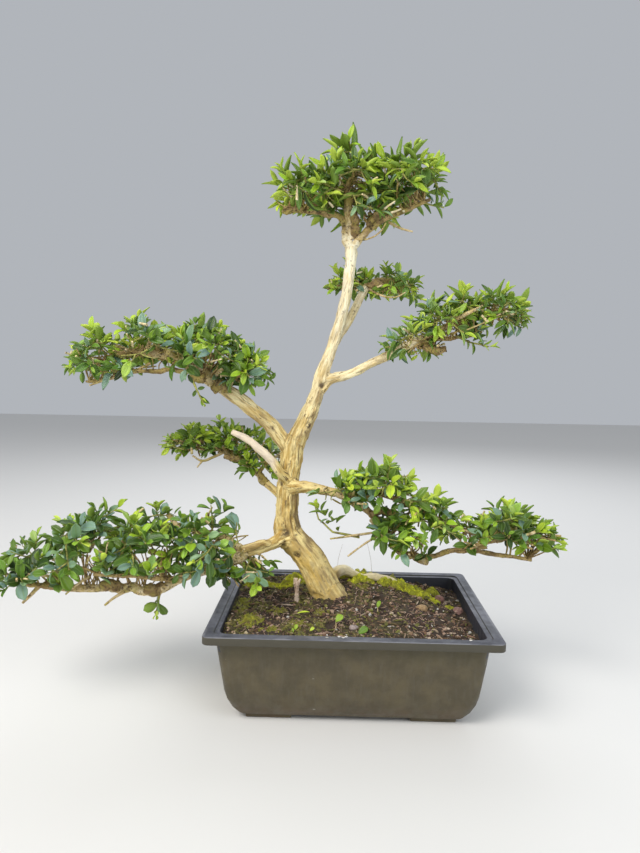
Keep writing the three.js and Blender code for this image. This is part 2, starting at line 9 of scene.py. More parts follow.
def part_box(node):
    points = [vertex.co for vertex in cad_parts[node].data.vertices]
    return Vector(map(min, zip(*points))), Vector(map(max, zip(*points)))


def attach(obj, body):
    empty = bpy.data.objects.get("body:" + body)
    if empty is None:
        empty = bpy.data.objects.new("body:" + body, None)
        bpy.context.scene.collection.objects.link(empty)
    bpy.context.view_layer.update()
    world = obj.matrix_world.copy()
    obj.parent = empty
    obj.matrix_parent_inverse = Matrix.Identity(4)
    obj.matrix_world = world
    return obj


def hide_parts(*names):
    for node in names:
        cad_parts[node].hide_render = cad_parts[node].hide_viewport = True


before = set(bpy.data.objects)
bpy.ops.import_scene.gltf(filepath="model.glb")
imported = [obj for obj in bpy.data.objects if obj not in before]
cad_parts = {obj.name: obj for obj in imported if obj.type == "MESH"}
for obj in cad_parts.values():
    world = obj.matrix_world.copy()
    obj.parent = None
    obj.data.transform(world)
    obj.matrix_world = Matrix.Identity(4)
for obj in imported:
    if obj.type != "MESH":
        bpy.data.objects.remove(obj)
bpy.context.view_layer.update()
potLow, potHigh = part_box("pot")
potMiddle = (potLow + potHigh) / 2
mm = 0.001
print("frame loaded")


# Sizes are in millimetres about the pot's centre, and place() puts them in the frame
def place(x, y, z):
    return Vector((x * mm + potMiddle.x, y * mm + potMiddle.y, z * mm))


def lerp(a, b, t):
    return a + (b - a) * t


def ramp(low, high, value):
    t = min(1, max(0, (value - low) / (high - low)))
    return t * t * (3 - 2 * t)


# Working by operator

def deselectAll():
    if bpy.context.object and bpy.context.object.mode != "OBJECT":
        bpy.ops.object.mode_set(mode="OBJECT")
    bpy.ops.object.select_all(action="DESELECT")


def pick(obj):
    deselectAll()
    obj.select_set(True)
    bpy.context.view_layer.objects.active = obj


def primitive(kind, **settings):
    deselectAll()
    getattr(bpy.ops.mesh, "primitive_" + kind + "_add")(**settings)
    return bpy.context.object


def block(size, at):
    cube = primitive("cube", size=1, location=place(*at))
    cube.scale = [side * mm for side in size]
    settle(cube)
    return cube


def applyModifier(obj, kind, **settings):
    pick(obj)
    modifier = obj.modifiers.new(kind.lower(), kind)
    for key, value in settings.items():
        setattr(modifier, key, value)
    bpy.ops.object.modifier_apply(modifier=modifier.name)


def settle(obj):
    pick(obj)
    bpy.ops.object.transform_apply(location=True, rotation=True, scale=True)


def rename(obj, name):
    obj.name = obj.data.name = name
    return obj


def joinAll(objects, name):
    deselectAll()
    for obj in objects:
        obj.select_set(True)
    bpy.context.view_layer.objects.active = objects[0]
    bpy.ops.object.join()
    return rename(bpy.context.object, name)


# Selects by kind, "faces" or "edges", those that wanted(face) or wanted(end, end) says, in edit mode
def selectPart(obj, kind, wanted):
    pick(obj)
    bpy.context.tool_settings.mesh_select_mode = (False, kind == "edges", kind == "faces")
    mesh = obj.data
    for items in (mesh.vertices, mesh.edges, mesh.polygons):
        items.foreach_set("select", [False] * len(items))
    if kind == "faces":
        mesh.polygons.foreach_set("select", [bool(wanted(face)) for face in mesh.polygons])
    else:
        ends = [[mesh.vertices[i].co for i in edge.vertices] for edge in mesh.edges]
        mesh.edges.foreach_set("select", [bool(wanted(a, b)) for a, b in ends])
    bpy.ops.object.mode_set(mode="EDIT")


def objectMode():
    bpy.ops.object.mode_set(mode="OBJECT")


def boolean(obj, cutter, operation):
    applyModifier(obj, "BOOLEAN", object=cutter, operation=operation, solver="EXACT")
    bpy.data.objects.remove(cutter)


def getPoints(obj, what="co"):
    points = np.empty(len(obj.data.vertices) * 3)
    obj.data.vertices.foreach_get(what, points)
    return points.reshape(-1, 3)


def setPoints(obj, points):
    obj.data.vertices.foreach_set("co", np.asarray(points).ravel())
    obj.data.update()


# Moves each point along its normal by its own lift, in millimetres
def pushOut(obj, lifts, relief=1):
    setPoints(obj, getPoints(obj) + getPoints(obj, "normal") * np.asarray(lifts)[:, None] * relief * mm)


# One closed skin in place of limbs that pass through each other
def mergeLimbs(obj, voxel, passes):
    applyModifier(obj, "REMESH", mode="VOXEL", voxel_size=voxel * mm)
    applyModifier(obj, "SMOOTH", factor=0.6, iterations=passes)


def shadeSmooth(obj, angle):
    pick(obj)
    bpy.ops.object.shade_smooth_by_angle(angle=math.radians(angle))


# A look is three numbers from 0 to 1 that a material reads: what they mean is the material's
def giveLook(obj, look):
    mesh = obj.data
    layer = mesh.attributes.get("look") or mesh.attributes.new("look", "FLOAT_VECTOR", "POINT")
    layer.data.foreach_set("vector", list(look) * len(mesh.vertices))


def copyOf(master, matrix, look):
    obj = master.copy()
    obj.data = master.data.copy()
    bpy.context.collection.objects.link(obj)
    obj.data.transform(matrix)
    giveLook(obj, look)
    return obj


# Round limbs along lists of (x, y, z, radius), one mesh for them all
def tubes(name, lines, sides, steps):
    curve = bpy.data.curves.new(name, "CURVE")
    curve.dimensions = "3D"
    curve.bevel_depth = mm
    curve.bevel_resolution = sides
    curve.resolution_u = steps
    curve.use_fill_caps = True
    for line in lines:
        spline = curve.splines.new("BEZIER")
        spline.radius_interpolation = "LINEAR"
        spline.bezier_points.add(len(line) - 1)
        for point, (x, y, z, radius) in zip(spline.bezier_points, line):
            point.co = place(x, y, z)
            point.radius = radius
            point.handle_left_type = point.handle_right_type = "AUTO"
    obj = bpy.data.objects.new(name, curve)
    bpy.context.collection.objects.link(obj)
    pick(obj)
    bpy.ops.object.convert(target="MESH")
    return bpy.context.object


# Every piece rides on the one body, and most stand for a CAD node
def finishPiece(piece, node=None, material=None):
    if material:
        piece.data.materials.clear()
        piece.data.materials.append(material)
    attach(piece, "root")
    if node:
        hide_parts(node)
    print(piece.name, "made,", len(piece.data.loops) - 2 * len(piece.data.polygons), "triangles")


# The node tree of a material or a group: each method adds a node and gives back what it puts out
class Paint:
    def __init__(self, tree, shader=None):
        self.tree = tree
        self.shader = shader

    def add(self, kind, inputs=None, **settings):
        node = self.tree.nodes.new("ShaderNode" + kind)
        for key, value in settings.items():
            setattr(node, key, value)
        for key, value in (inputs or {}).items():
            if isinstance(value, bpy.types.NodeSocket):
                self.tree.links.new(value, node.inputs[key])
            else:
                node.inputs[key].default_value = value
        return node

    def mix(self, factor, *colours):
        first, second = (one if isinstance(one, bpy.types.NodeSocket) else (*one, 1) for one in colours)
        return self.add("Mix", {0: factor, 6: first, 7: second}, data_type="RGBA").outputs[2]

    def maths(self, operation, first, second=0.0):
        return self.add("Math", {0: first, 1: second}, operation=operation).outputs[0]

    def times(self, first, second):
        return self.maths("MULTIPLY", first, second)

    def span(self, value, low, high, outLow=0.0, outHigh=1.0):
        inputs = {0: value, 1: low, 2: high, 3: outLow, 4: outHigh}
        return self.add("MapRange", inputs, interpolation_type="SMOOTHSTEP").outputs[0]

    def where(self):
        return self.add("TexCoord").outputs["Object"]

    def axes(self, vector):
        return self.add("SeparateXYZ", {0: vector}).outputs

    def facing(self):
        return self.axes(self.add("NewGeometry").outputs["Normal"])

    def attribute(self, name):
        return self.add("Attribute", attribute_name=name).outputs["Vector"]

    def vectors(self, operation, first, second, output="Vector"):
        return self.add("VectorMath", {0: first, 1: second}, operation=operation).outputs[output]

    def stretched(self, vector, *scale):
        return self.add("Mapping", {"Vector": vector, "Scale": scale}).outputs[0]

    def clouds(self, vector, scale, detail=2.0, roughness=0.5):
        inputs = {"Vector": vector, "Scale": scale, "Detail": detail, "Roughness": roughness}
        return self.add("TexNoise", inputs).outputs[0]

    # Patches of noise: 1 where it is above high, 0 where it is below low
    def mottle(self, vector, scale, low=0.4, high=0.6):
        inputs = {"Vector": vector, "Scale": scale, "Low": low, "High": high}
        return self.add("Group", inputs, node_tree=mottleGroup).outputs["Mask"]

    def feed(self, value, name):
        self.tree.links.new(value, self.shader.inputs[name])

    def bump(self, height, distance, strength=1.0):
        node = self.add("Bump", {"Strength": strength, "Distance": distance, "Height": height})
        self.feed(node.outputs[0], "Normal")


def newMaterial(name, **sockets):
    material = bpy.data.materials.new(name)
    material.use_nodes = True
    shader = material.node_tree.nodes["Principled BSDF"]
    for key, value in sockets.items():
        shader.inputs[key.replace("_", " ")].default_value = value
    return material, Paint(material.node_tree, shader)


def makeMottleGroup():
    group = bpy.data.node_groups.new("mottle", "ShaderNodeTree")
    group.interface.new_socket("Vector", in_out="INPUT", socket_type="NodeSocketVector")
    for name, value in (("Scale", 100.0), ("Low", 0.4), ("High", 0.6)):
        socket = group.interface.new_socket(name, in_out="INPUT", socket_type="NodeSocketFloat")
        socket.default_value = value
    group.interface.new_socket("Mask", in_out="OUTPUT", socket_type="NodeSocketFloat")
    start = group.nodes.new("NodeGroupInput").outputs
    end = group.nodes.new("NodeGroupOutput").inputs
    paint = Paint(group)
    clouds = paint.clouds(start["Vector"], start["Scale"], 5.0, 0.6)
    group.links.new(paint.span(clouds, start["Low"], start["High"]), end["Mask"])
    return group


mottleGroup = makeMottleGroup()


# Camera

photoView = dict(
    at=(-24.3, -716.1, 363.5), yaw=-1.14, pitch=5.02, roll=-0.98, focal=640, tall=853, sensor=36,
)


def makeCamera():
    yaw, pitch, roll = (math.radians(photoView[key]) for key in ("yaw", "pitch", "roll"))
    forward = Vector((math.sin(yaw) * math.cos(pitch), math.cos(yaw) * math.cos(pitch), -math.sin(pitch)))
    level = Vector((math.cos(yaw), -math.sin(yaw), 0))
    down = forward.cross(level)
    right = level * math.cos(roll) + down * math.sin(roll)
    drop = down * math.cos(roll) - level * math.sin(roll)
    matrix = Matrix((right, -drop, -forward)).transposed().to_4x4()
    matrix.translation = place(*photoView["at"])
    bpy.ops.object.camera_add()
    camera = bpy.context.object
    camera.matrix_world = matrix
    camera.data.sensor_width = photoView["sensor"]
    camera.data.lens = photoView["sensor"] * photoView["focal"] / photoView["tall"]
    bpy.context.scene.camera = camera


makeCamera()


# Pot: the profile is how far in each height of its wall stands from the rim's edge
potShape = dict(
    width=300, depth=222, height=100, lip=8, lipCorner=7, lipSteps=6, corner=12, cornerSteps=8, wall=3.5,
    rim=15, ledge=5, ledgeDrop=1.5, floorTop=10, edge=0.7, sharp=35, smooth=40,
    profile=[(10.5, 93), (12, 82), (13.5, 70), (16, 52), (18.5, 34), (21, 24), (25.5, 14), (31, 6)],
    foot=(48, 28, 7.5), footAt=(86, 62), footEdge=1.2, drain=8, drainSides=24, drainAt=(-62, 0, 62),
    overlap=2, above=5, floorEase=4,
    colours=dict(
        olive=(0.068, 0.055, 0.029), oliveLight=(0.100, 0.080, 0.041), streak=(0.110, 0.100, 0.075),
        band=(0.078, 0.066, 0.028), splash=(0.098, 0.066, 0.034), lip=(0.050, 0.047, 0.036),
        # The rim colours are the plastic with a painted sheen on its top, and the inside colour is the same
        # plastic with painted shade
        inside=(0.030, 0.032, 0.044), rim=(0.062, 0.065, 0.082), rimLight=(0.115, 0.119, 0.148),
        # A pale line of wear with a painted highlight along the rim's outer edge
        edgeWearAndHighlight=(0.28, 0.28, 0.31), scuff=(0.50, 0.49, 0.45),
    ),
)


def roundedBlock(inset, low, high, corner, steps):
    size = (potShape["width"] - 2 * inset, potShape["depth"] - 2 * inset, high - low)
    cube = block(size, (0, 0, (low + high) / 2))
    selectPart(cube, "edges", lambda a, b: abs(a.z - b.z) > 0.5 * (high - low) * mm)
    bpy.ops.mesh.bevel(offset=corner * mm, segments=steps, affect="EDGES")
    objectMode()
    return cube


# The underside of a block is drawn down and in through (inset, height) pairs
def drawDown(obj, steps):
    lowest = getPoints(obj)[:, 2].min()
    selectPart(obj, "faces", lambda face: face.normal.z < -0.9 and face.center.z < lowest + 0.01 * mm)
    for (was, height), (inset, z) in zip(steps, steps[1:]):
        bpy.ops.mesh.extrude_region_move(TRANSFORM_OT_translate={"value": (0, 0, (z - height) * mm)})
        wide = (potShape["width"] - 2 * inset) / (potShape["width"] - 2 * was)
        deep = (potShape["depth"] - 2 * inset) / (potShape["depth"] - 2 * was)
        bpy.ops.transform.resize(value=(wide, deep, 1), center_override=place(0, 0, z))
    objectMode()


def makePot():
    shape = potShape
    top, lipLow = shape["height"], shape["height"] - shape["lip"]
    lipCorner, profile = (shape["lipCorner"], shape["lipSteps"]), shape["profile"]
    pot = roundedBlock(*profile[0], lipLow + shape["overlap"], shape["corner"], shape["cornerSteps"])
    drawDown(pot, profile)
    boolean(pot, roundedBlock(0, lipLow, top, *lipCorner), "UNION")
    for sideX in (-1, 1):
        for sideY in (-1, 1):
            x, y = sideX * shape["footAt"][0], sideY * shape["footAt"][1]
            foot = block(shape["foot"], (x, y, shape["foot"][2] / 2))
            applyModifier(foot, "BEVEL", width=shape["footEdge"] * mm, segments=2)
            boolean(pot, foot, "UNION")
    wallEnd = shape["floorTop"] + shape["floorEase"]
    inside = [(inset + shape["wall"], z) for inset, z in profile if z > wallEnd]
    inside[0] = (shape["rim"], inside[0][1])
    inside.append((profile[-1][0], shape["floorTop"]))
    innerCorner = shape["corner"] - shape["wall"]
    hollow = roundedBlock(*inside[0], top + shape["above"], innerCorner, shape["cornerSteps"])
    drawDown(hollow, inside)
    boolean(pot, hollow, "DIFFERENCE")
    ledgeAt = (shape["rim"] - shape["ledge"], top - shape["ledgeDrop"])
    boolean(pot, roundedBlock(*ledgeAt, top + shape["above"], *lipCorner), "DIFFERENCE")
    for x in shape["drainAt"]:
        drain = primitive("cylinder", radius=shape["drain"] * mm, depth=2 * shape["floorTop"] * mm,
                          vertices=shape["drainSides"], location=place(x, 0, shape["floorTop"]))
        boolean(pot, drain, "DIFFERENCE")
    applyModifier(pot, "BEVEL", width=shape["edge"] * mm, segments=3, limit_method="ANGLE",
                  angle_limit=math.radians(shape["sharp"]))
    shadeSmooth(pot, shape["smooth"])
    return rename(pot, "trainingPot")


# How far out a point of the pot stands, as a share of a rectangle that is inset from the rim's edge
def outward(paint, where, inset):
    off = paint.axes(paint.vectors("SUBTRACT", where, potMiddle))
    shares = [paint.maths("DIVIDE", paint.maths("ABSOLUTE", off[axis]), (potShape[side] / 2 - inset) * mm)
              for axis, side in enumerate(("width", "depth"))]
    return paint.maths("MAXIMUM", *shares)


# Olive where it is dusty, a lighter blue-grey on the rim's upward faces as painted sheen, and a darker
# blue-grey inside as painted shade
def makePotPlastic():
    material, paint = newMaterial("dustyPlastic", Roughness=0.5)
    tint = potShape["colours"]
    where = paint.where()
    height = paint.axes(where)[2]
    colour = paint.mix(paint.mottle(where, 38, 0.35, 0.68), tint["olive"], tint["oliveLight"])
    streaks = paint.mottle(paint.stretched(where, 1, 1, 0.12), 240, 0.45, 0.75)
    colour = paint.mix(paint.times(streaks, 0.3), colour, tint["streak"])
    band = paint.times(paint.span(height, 66 * mm, 84 * mm), paint.mottle(where, 25, 0.3, 0.6))
    colour = paint.mix(paint.times(band, 0.5), colour, tint["band"])
    # Brown dirt splashed up from the base
    splash = paint.times(paint.span(height, 34 * mm, 2 * mm), paint.mottle(where, 60, 0.38, 0.58))
    colour = paint.mix(paint.times(splash, 0.7), colour, tint["splash"])
    lip = paint.times(paint.span(height, 90.5 * mm, 92.5 * mm), 0.75)
    colour = paint.mix(lip, colour, tint["lip"])
    # Painted shade: the inner wall above the soil takes a darker copy of the rim's blue-grey
    shadedInside = paint.span(outward(paint, where, potShape["rim"] - 0.6), 1.0, 0.998)
    shadedInside = paint.times(shadedInside, paint.span(height, 78 * mm, 80 * mm))
    colour = paint.mix(shadedInside, colour, tint["inside"])
    # Painted sheen: the rim's upward faces take a lighter blue-grey
    top = paint.mix(paint.mottle(where, 55, 0.35, 0.65), tint["rim"], tint["rimLight"])
    # Wear and a painted highlight: a pale, broken line along the rim's outer edge
    edgeWearAndHighlight = paint.times(paint.span(outward(paint, where, 0), 0.972, 0.995), paint.mottle(where, 45, 0.35, 0.6))
    top = paint.mix(paint.times(edgeWearAndHighlight, 0.6), top, tint["edgeWearAndHighlight"])
    upward = paint.times(paint.span(paint.facing()[2], 0.3, 0.75), paint.span(height, 90 * mm, 96 * mm))
    colour = paint.mix(upward, colour, top)
    cells = paint.add("TexVoronoi", {"Vector": paint.stretched(where, 1, 1, 2), "Scale": 34.0})
    scuffs = paint.span(cells.outputs["Distance"], 0.07, 0.03)
    scuffs = paint.times(scuffs, paint.mottle(where, 14, 0.52, 0.62))
    colour = paint.mix(paint.times(scuffs, 0.8), colour, tint["scuff"])
    paint.feed(colour, "Base Color")
    paint.feed(paint.span(paint.mottle(where, 90, 0.3, 0.7), 0, 1, 0.42, 0.62), "Roughness")
    paint.bump(paint.clouds(where, 900, 3), 0.12 * mm, 0.5)
    return material


finishPiece(makePot(), "pot", makePotPlastic())


# Soil: a mound round the trunk with loose crumbs, chips of bark and fibres on it
soilShape = dict(
    seed=5, level=93, mound=10, moundAt=(-5, 45), moundReach=(75, 48), rightDrop=9, rightDropAt=(50, 130),
    halfX=134.6, halfY=95.6, cells=(130, 94), clod=3.6, crumb=3.0, grit=2.0, sink=0.4,
    # How far each stretch of the side goes down, how it narrows and the height it ends at
    sides=[(30, 0.975, 0.965, 62), (50, 0.9, 0.87, 12)],
    grains=8, chips=4, crumbs=4600, clods=700, clodSizes=(2.8, 5.2), crumbSizes=(1.3, 1.7, 2.1, 2.6),
    edge=2.5, fibres=260, fibreHalf=(122, 86), fibreReach=(5, 13), fibreRadius=(0.22, 0.45), fibreArch=2.5,
    trunkAt=(-22, 26), trunkReach=19, rimGrain=2.2,
    onRim=[(-26, -104), (-14, -101), (-10, -103), (-7, -101), (116, -102)],
    hairs=[
        [(10, -30, 90, 0.25), (10.6, -31, 106, 0.2), (10, -30, 119, 0.14)],
        [(-16, 70, 100, 0.25), (-14, 72, 128, 0.2), (-9, 74, 146, 0.14)],
        [(29, 74, 100, 0.25), (27, 75, 126, 0.2), (22, 76, 148, 0.14)],
    ],
    # The colour of each kind of crumb, from the look value at which it starts
    kinds=[
        (0.0, (0.042, 0.026, 0.018)), (0.18, (0.115, 0.062, 0.040)), (0.36, (0.195, 0.108, 0.066)),
        (0.54, (0.310, 0.185, 0.122)), (0.66, (0.205, 0.200, 0.045)), (0.79, (0.460, 0.310, 0.225)),
        (0.91, (0.600, 0.470, 0.350)), (0.98, (0.74, 0.71, 0.66)),
    ],
    damp=(0.045, 0.028, 0.020), dark=(0.02, 0.014, 0.01), film=(0.200, 0.205, 0.030),
)


def soilHeight(x, y):
    shape = soilShape
    (moundX, moundY), (reachX, reachY) = shape["moundAt"], shape["moundReach"]
    mound = shape["mound"] * math.exp(-((x - moundX) / reachX) ** 2 - ((y - moundY) / reachY) ** 2)
    right = shape["rightDrop"] * ramp(*shape["rightDropAt"], x)
    lumps = shape["clod"] * noise.noise(Vector((x, y, 3)) * 0.05)
    lumps += shape["crumb"] * noise.noise(Vector((x, y, 9)) * 0.16)
    return shape["level"] + mound - right + lumps


def makeSoilBody():
    shape = soilShape
    body = primitive("grid", x_subdivisions=shape["cells"][0], y_subdivisions=shape["cells"][1], size=2)
    points = getPoints(body)
    for point in points:
        x, y = point[0] * shape["halfX"], point[1] * shape["halfY"]
        fine = shape["grit"] * abs(noise.noise(Vector((x, y, 1)) * 0.5))
        point[:] = place(x, y, soilHeight(x, y) + fine - shape["sink"])
    setPoints(body, points)
    pick(body)
    bpy.ops.object.mode_set(mode="EDIT")
    bpy.ops.mesh.select_all(action="SELECT")
    for down, wide, deep, height in shape["sides"]:
        bpy.ops.mesh.extrude_region_move(TRANSFORM_OT_translate={"value": (0, 0, -down * mm)})
        bpy.ops.transform.resize(value=(wide, deep, 0), center_override=place(0, 0, height))
    bpy.ops.mesh.select_all(action="SELECT")
    bpy.ops.mesh.normals_make_consistent(inside=False)
    objectMode()
    giveLook(body, (0.17, 0.6, 0))
    shadeSmooth(body, 60)
    return body


# Grains of earth, then long chips of bark and straw
def crumbMasters(rng):
    masters = []
    for number in range(soilShape["grains"] + soilShape["chips"]):
        crumb = primitive("ico_sphere", subdivisions=1, radius=0.5)
        points = getPoints(crumb)
        for point in points:
            point *= rng.uniform(0.7, 1.25)
        if number < soilShape["grains"]:
            points *= (rng.uniform(1.0, 1.7), 1, rng.uniform(0.5, 0.95))
        else:
            points *= (rng.uniform(2.4, 3.6), 0.5, 0.4)
        setPoints(crumb, points)
        masters.append(crumb)
    return masters


def freeOfTrunk(x, y):
    return math.hypot(x - soilShape["trunkAt"][0], y - soilShape["trunkAt"][1]) > soilShape["trunkReach"]


def makeCrumbs():
    shape = soilShape
    rng = random.Random(shape["seed"])
    masters = crumbMasters(rng)
    crumbs = []
    for number in range(shape["crumbs"]):
        x = rng.uniform(-1, 1) * (shape["halfX"] - shape["edge"])
        y = rng.uniform(-1, 1) * (shape["halfY"] - shape["edge"])
        if not freeOfTrunk(x, y):
            continue
        big = number <= shape["clods"]
        size = rng.uniform(*shape["clodSizes"]) if big else rng.choice(shape["crumbSizes"])
        turn = Matrix.Rotation(rng.uniform(0, 6.3), 4, "Z") @ Matrix.Rotation(rng.gauss(0, 0.5), 4, "X")
        at = place(x, y, soilHeight(x, y) + size * 0.15)
        matrix = Matrix.Translation(at) @ turn @ Matrix.Scale(size * mm, 4)
        crumbs.append(copyOf(rng.choice(masters), matrix, (rng.random(), rng.random(), 0)))
    for x, y in shape["onRim"]:
        at = place(x, y, potShape["height"] + 0.5)
        matrix = Matrix.Translation(at) @ Matrix.Scale(shape["rimGrain"] * mm, 4)
        crumbs.append(copyOf(masters[0], matrix, (0.99, 1, 0)))
    for master in masters:
        bpy.data.objects.remove(master)
    return crumbs


def makeFibres():
    shape = soilShape
    rng = random.Random(shape["seed"] + 1)
    halfX, halfY = shape["fibreHalf"]
    lines = []
    for _ in range(shape["fibres"]):
        x, y = rng.uniform(-halfX, halfX), rng.uniform(-halfY, halfY)
        turn, reach, bend = rng.uniform(0, 6.3), rng.uniform(*shape["fibreReach"]), rng.gauss(0, 0.5)
        line = []
        for step in range(4):
            x += math.cos(turn + bend * step) * reach / 3
            y += math.sin(turn + bend * step) * reach / 3
            lift = 0.6 + rng.uniform(0, shape["fibreArch"]) if step in (1, 2) else 0
            line.append((x, y, soilHeight(x, y) + lift, rng.uniform(*shape["fibreRadius"])))
        if all(freeOfTrunk(*spot[:2]) for spot in line):
            lines.append(line)
    fibres = tubes("fibres", lines + shape["hairs"], 0, 2)
    giveLook(fibres, (0.9, 0.6, 0))
    return fibres


# The look of a crumb is its kind and its tone
def makeSoilEarth():
    material, paint = newMaterial("pottingSoil", Roughness=0.95)
    tint = soilShape
    where = paint.where()
    kind, tone, _ = paint.axes(paint.attribute("look"))
    kinds = paint.add("ValToRGB", {0: kind})
    stops = kinds.color_ramp
    stops.interpolation = "CONSTANT"
    for at, _ in tint["kinds"][2:]:
        stops.elements.new(at)
    for element, (at, colour) in zip(stops.elements, tint["kinds"]):
        element.position = at
        element.color = (*colour, 1)
    colour = paint.mix(paint.mottle(where, 420, 0.45, 0.7), kinds.outputs[0], tint["damp"])
    colour = paint.mix(paint.span(tone, 0, 1, 0.25, 0), colour, tint["dark"])
    # A green film, mostly on the left
    left = paint.span(paint.axes(where)[0], potMiddle.x + 60 * mm, potMiddle.x - 50 * mm, 0.25, 1)
    film = paint.times(paint.mottle(where, 30, 0.42, 0.6), paint.mottle(where, 260))
    colour = paint.mix(paint.times(film, paint.times(left, 0.7)), colour, tint["film"])
    paint.feed(colour, "Base Color")
    paint.bump(paint.clouds(where, 1100, 4), 0.6 * mm)
    return material


soil = joinAll([makeSoilBody()] + makeCrumbs() + [makeFibres()], "pottingSoil")
finishPiece(soil, "soil", makeSoilEarth())


# Moss cushions: centre, half widths, height and how fresh it is
mossPatches = [
    (2, 84, 16, 9, 13, 0.75), (6, 57, 8, 6, 8, 1), (16, 61, 9, 6, 9, 1), (26, 64, 7, 5, 5, 0.7),
    (22, 84, 12, 8, 12, 0.8), (36, 86, 12, 6, 9, 0.4), (46, 60, 12, 8, 9, 0.95), (60, 56, 12, 8, 10, 1),
    (75, 51, 12, 8, 8, 1), (90, 44, 11, 8, 6, 0.95), (56, 84, 12, 8, 8, 0.3), (82, 62, 11, 8, 5, 0.55),
    (102, 37, 8, 6, 4, 0.9), (104, 68, 10, 12, 4, 0.6), (-116, 66, 15, 14, 6, 0.85),
    (-98, 60, 12, 10, 4, 0.8), (-78, 54, 14, 12, 6, 0.9), (-68, 80, 14, 12, 7, 0.9),
    (-56, 64, 8, 8, 4, 0.8), (118, 20, 6, 6, 3, 0.7), (-123, -6, 8, 24, 2, 0.3),
    (-108, -48, 16, 18, 2.5, 0.35), (-82, -18, 13, 11, 2, 0.25), (-58, -54, 13, 11, 2, 0.2),
    (-88, -72, 15, 11, 2, 0.3), (-32, -22, 11, 8, 1.6, 0.2), (14, 42, 11, 9, 2, 0.3),
]
mossShape = dict(
    seed=31, tips=5, size=(1.4, 2.8), tall=1.2, lump=(0.19, 0.5), sink=1.2, tuftSink=1.5, half=(132, 93),
    dense=0.8, sparse=0.3, least=8, denseAbove=0.4,
    stale=(0.17, 0.14, 0.040), fresh=(0.84, 0.86, 0.055), dark=(0.13, 0.15, 0.016), brown=(0.11, 0.075, 0.03),
)


def mossLump(x, y):
    scale, height = mossShape["lump"]
    return 1 + height * noise.noise(Vector((x, y, 5)) * scale)


# One tip in the middle and the others round it
def makeTuft(rng):
    tips = []
    for number in range(mossShape["tips"]):
        turn, out = number * 1.57, 0.5 if number else 0
        tips.append(primitive(
            "cone", vertices=4, radius1=0.3, radius2=0, depth=1,
            location=(math.cos(turn) * out, math.sin(turn) * out, rng.uniform(0.1, 0.35)),
            rotation=(rng.gauss(0, 0.3), rng.gauss(0, 0.3), turn)))
    tuft = joinAll(tips, "tuft")
    settle(tuft)
    return tuft


def makeCushion(x, y, halfX, halfY, height):
    cushion = primitive("ico_sphere", subdivisions=3, radius=1)
    points = getPoints(cushion)
    for point in points:
        px, py = x + point[0] * halfX, y + point[1] * halfY
        lift = point[2] * (height * mossLump(px, py) if point[2] > 0 else 2) - mossShape["sink"]
        point[:] = place(px, py, soilHeight(px, py) + lift)
    setPoints(cushion, points)
    shadeSmooth(cushion, 180)
    return cushion


def makeMoss():
    shape = mossShape
    rng = random.Random(shape["seed"])
    tuft = makeTuft(rng)
    pieces = []
    for x, y, halfX, halfY, height, fresh in mossPatches:
        cushion = makeCushion(x, y, halfX, halfY, height)
        giveLook(cushion, (fresh * 0.55, 1, 0))
        pieces.append(cushion)
        cover = shape["dense"] if fresh > shape["denseAbove"] else shape["sparse"]
        for _ in range(int(halfX * halfY * cover) + shape["least"]):
            turn, out = rng.uniform(0, 2 * math.pi), math.sqrt(rng.random())
            px, py = x + math.cos(turn) * out * halfX, y + math.sin(turn) * out * halfY
            if abs(px) > shape["half"][0] or abs(py) > shape["half"][1] or not freeOfTrunk(px, py):
                continue
            dome = height * mossLump(px, py) * math.sqrt(1 - out * out) - shape["tuftSink"]
            size = rng.uniform(*shape["size"])
            lean = Matrix.Rotation(rng.gauss(0, 0.5), 4, "X") @ Matrix.Rotation(rng.gauss(0, 0.5), 4, "Y")
            matrix = Matrix.Translation(place(px, py, soilHeight(px, py) + dome)) @ lean
            matrix = matrix @ Matrix.Diagonal((size * mm, size * mm, size * shape["tall"] * mm, 1))
            pieces.append(copyOf(tuft, matrix, (fresh * rng.uniform(0.7, 1.1), rng.random(), 0)))
    bpy.data.objects.remove(tuft)
    return joinAll(pieces, "moss")


# The look of moss is how fresh it is and its tone
def makeMossGreen():
    material, paint = newMaterial("mossGreen", Roughness=0.9)
    fresh, tone, _ = paint.axes(paint.attribute("look"))
    colour = paint.mix(fresh, mossShape["stale"], mossShape["fresh"])
    colour = paint.mix(paint.span(tone, 0, 1, 0, 0.5), colour, mossShape["dark"])
    brown = paint.times(paint.mottle(paint.where(), 150, 0.5, 0.62), 0.5)
    paint.feed(paint.mix(brown, colour, mossShape["brown"]), "Base Color")
    return material


finishPiece(makeMoss(), material=makeMossGreen())


# Stones: the node each one stands for and its colour
stones = dict(
    pebble_tan=(0.42, 0.27, 0.13), pebble_pink=(0.36, 0.20, 0.17), pebble_rose=(0.30, 0.15, 0.12),
    pebble_grey=(0.34, 0.27, 0.25), pebble_brown=(0.38, 0.27, 0.17),
)


def makeStone(node, colour):
    low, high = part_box(node)
    stone = primitive("ico_sphere", subdivisions=3, radius=0.5)
    points = getPoints(stone)
    seed = Vector((len(node), ord(node[-1]), 0))
    for point in points:
        lumps = noise.noise(Vector(point) * 2.2 + seed) * 0.2 + noise.noise(Vector(point) * 6 + seed) * 0.05
        point *= 0.94 + lumps
    points *= np.array(high - low) / (points.max(0) - points.min(0))
    points += np.array((low + high) / 2) - (points.max(0) + points.min(0)) / 2
    setPoints(stone, points)
    shadeSmooth(stone, 60)
    rename(stone, node.replace("pebble_", "stone_"))
    material, paint = newMaterial(stone.name, Roughness=0.75)
    where = paint.where()
    mixed = paint.mix(paint.mottle(where, 260, 0.35, 0.7), colour, [value * 0.5 for value in colour])
    mixed = paint.mix(paint.mottle(where, 900, 0.6, 0.7), mixed, (0.5, 0.45, 0.4))
    paint.feed(mixed, "Base Color")
    paint.bump(paint.clouds(where, 700), 0.4 * mm)
    finishPiece(stone, node, material)


for node, colour in stones.items():
    makeStone(node, colour)


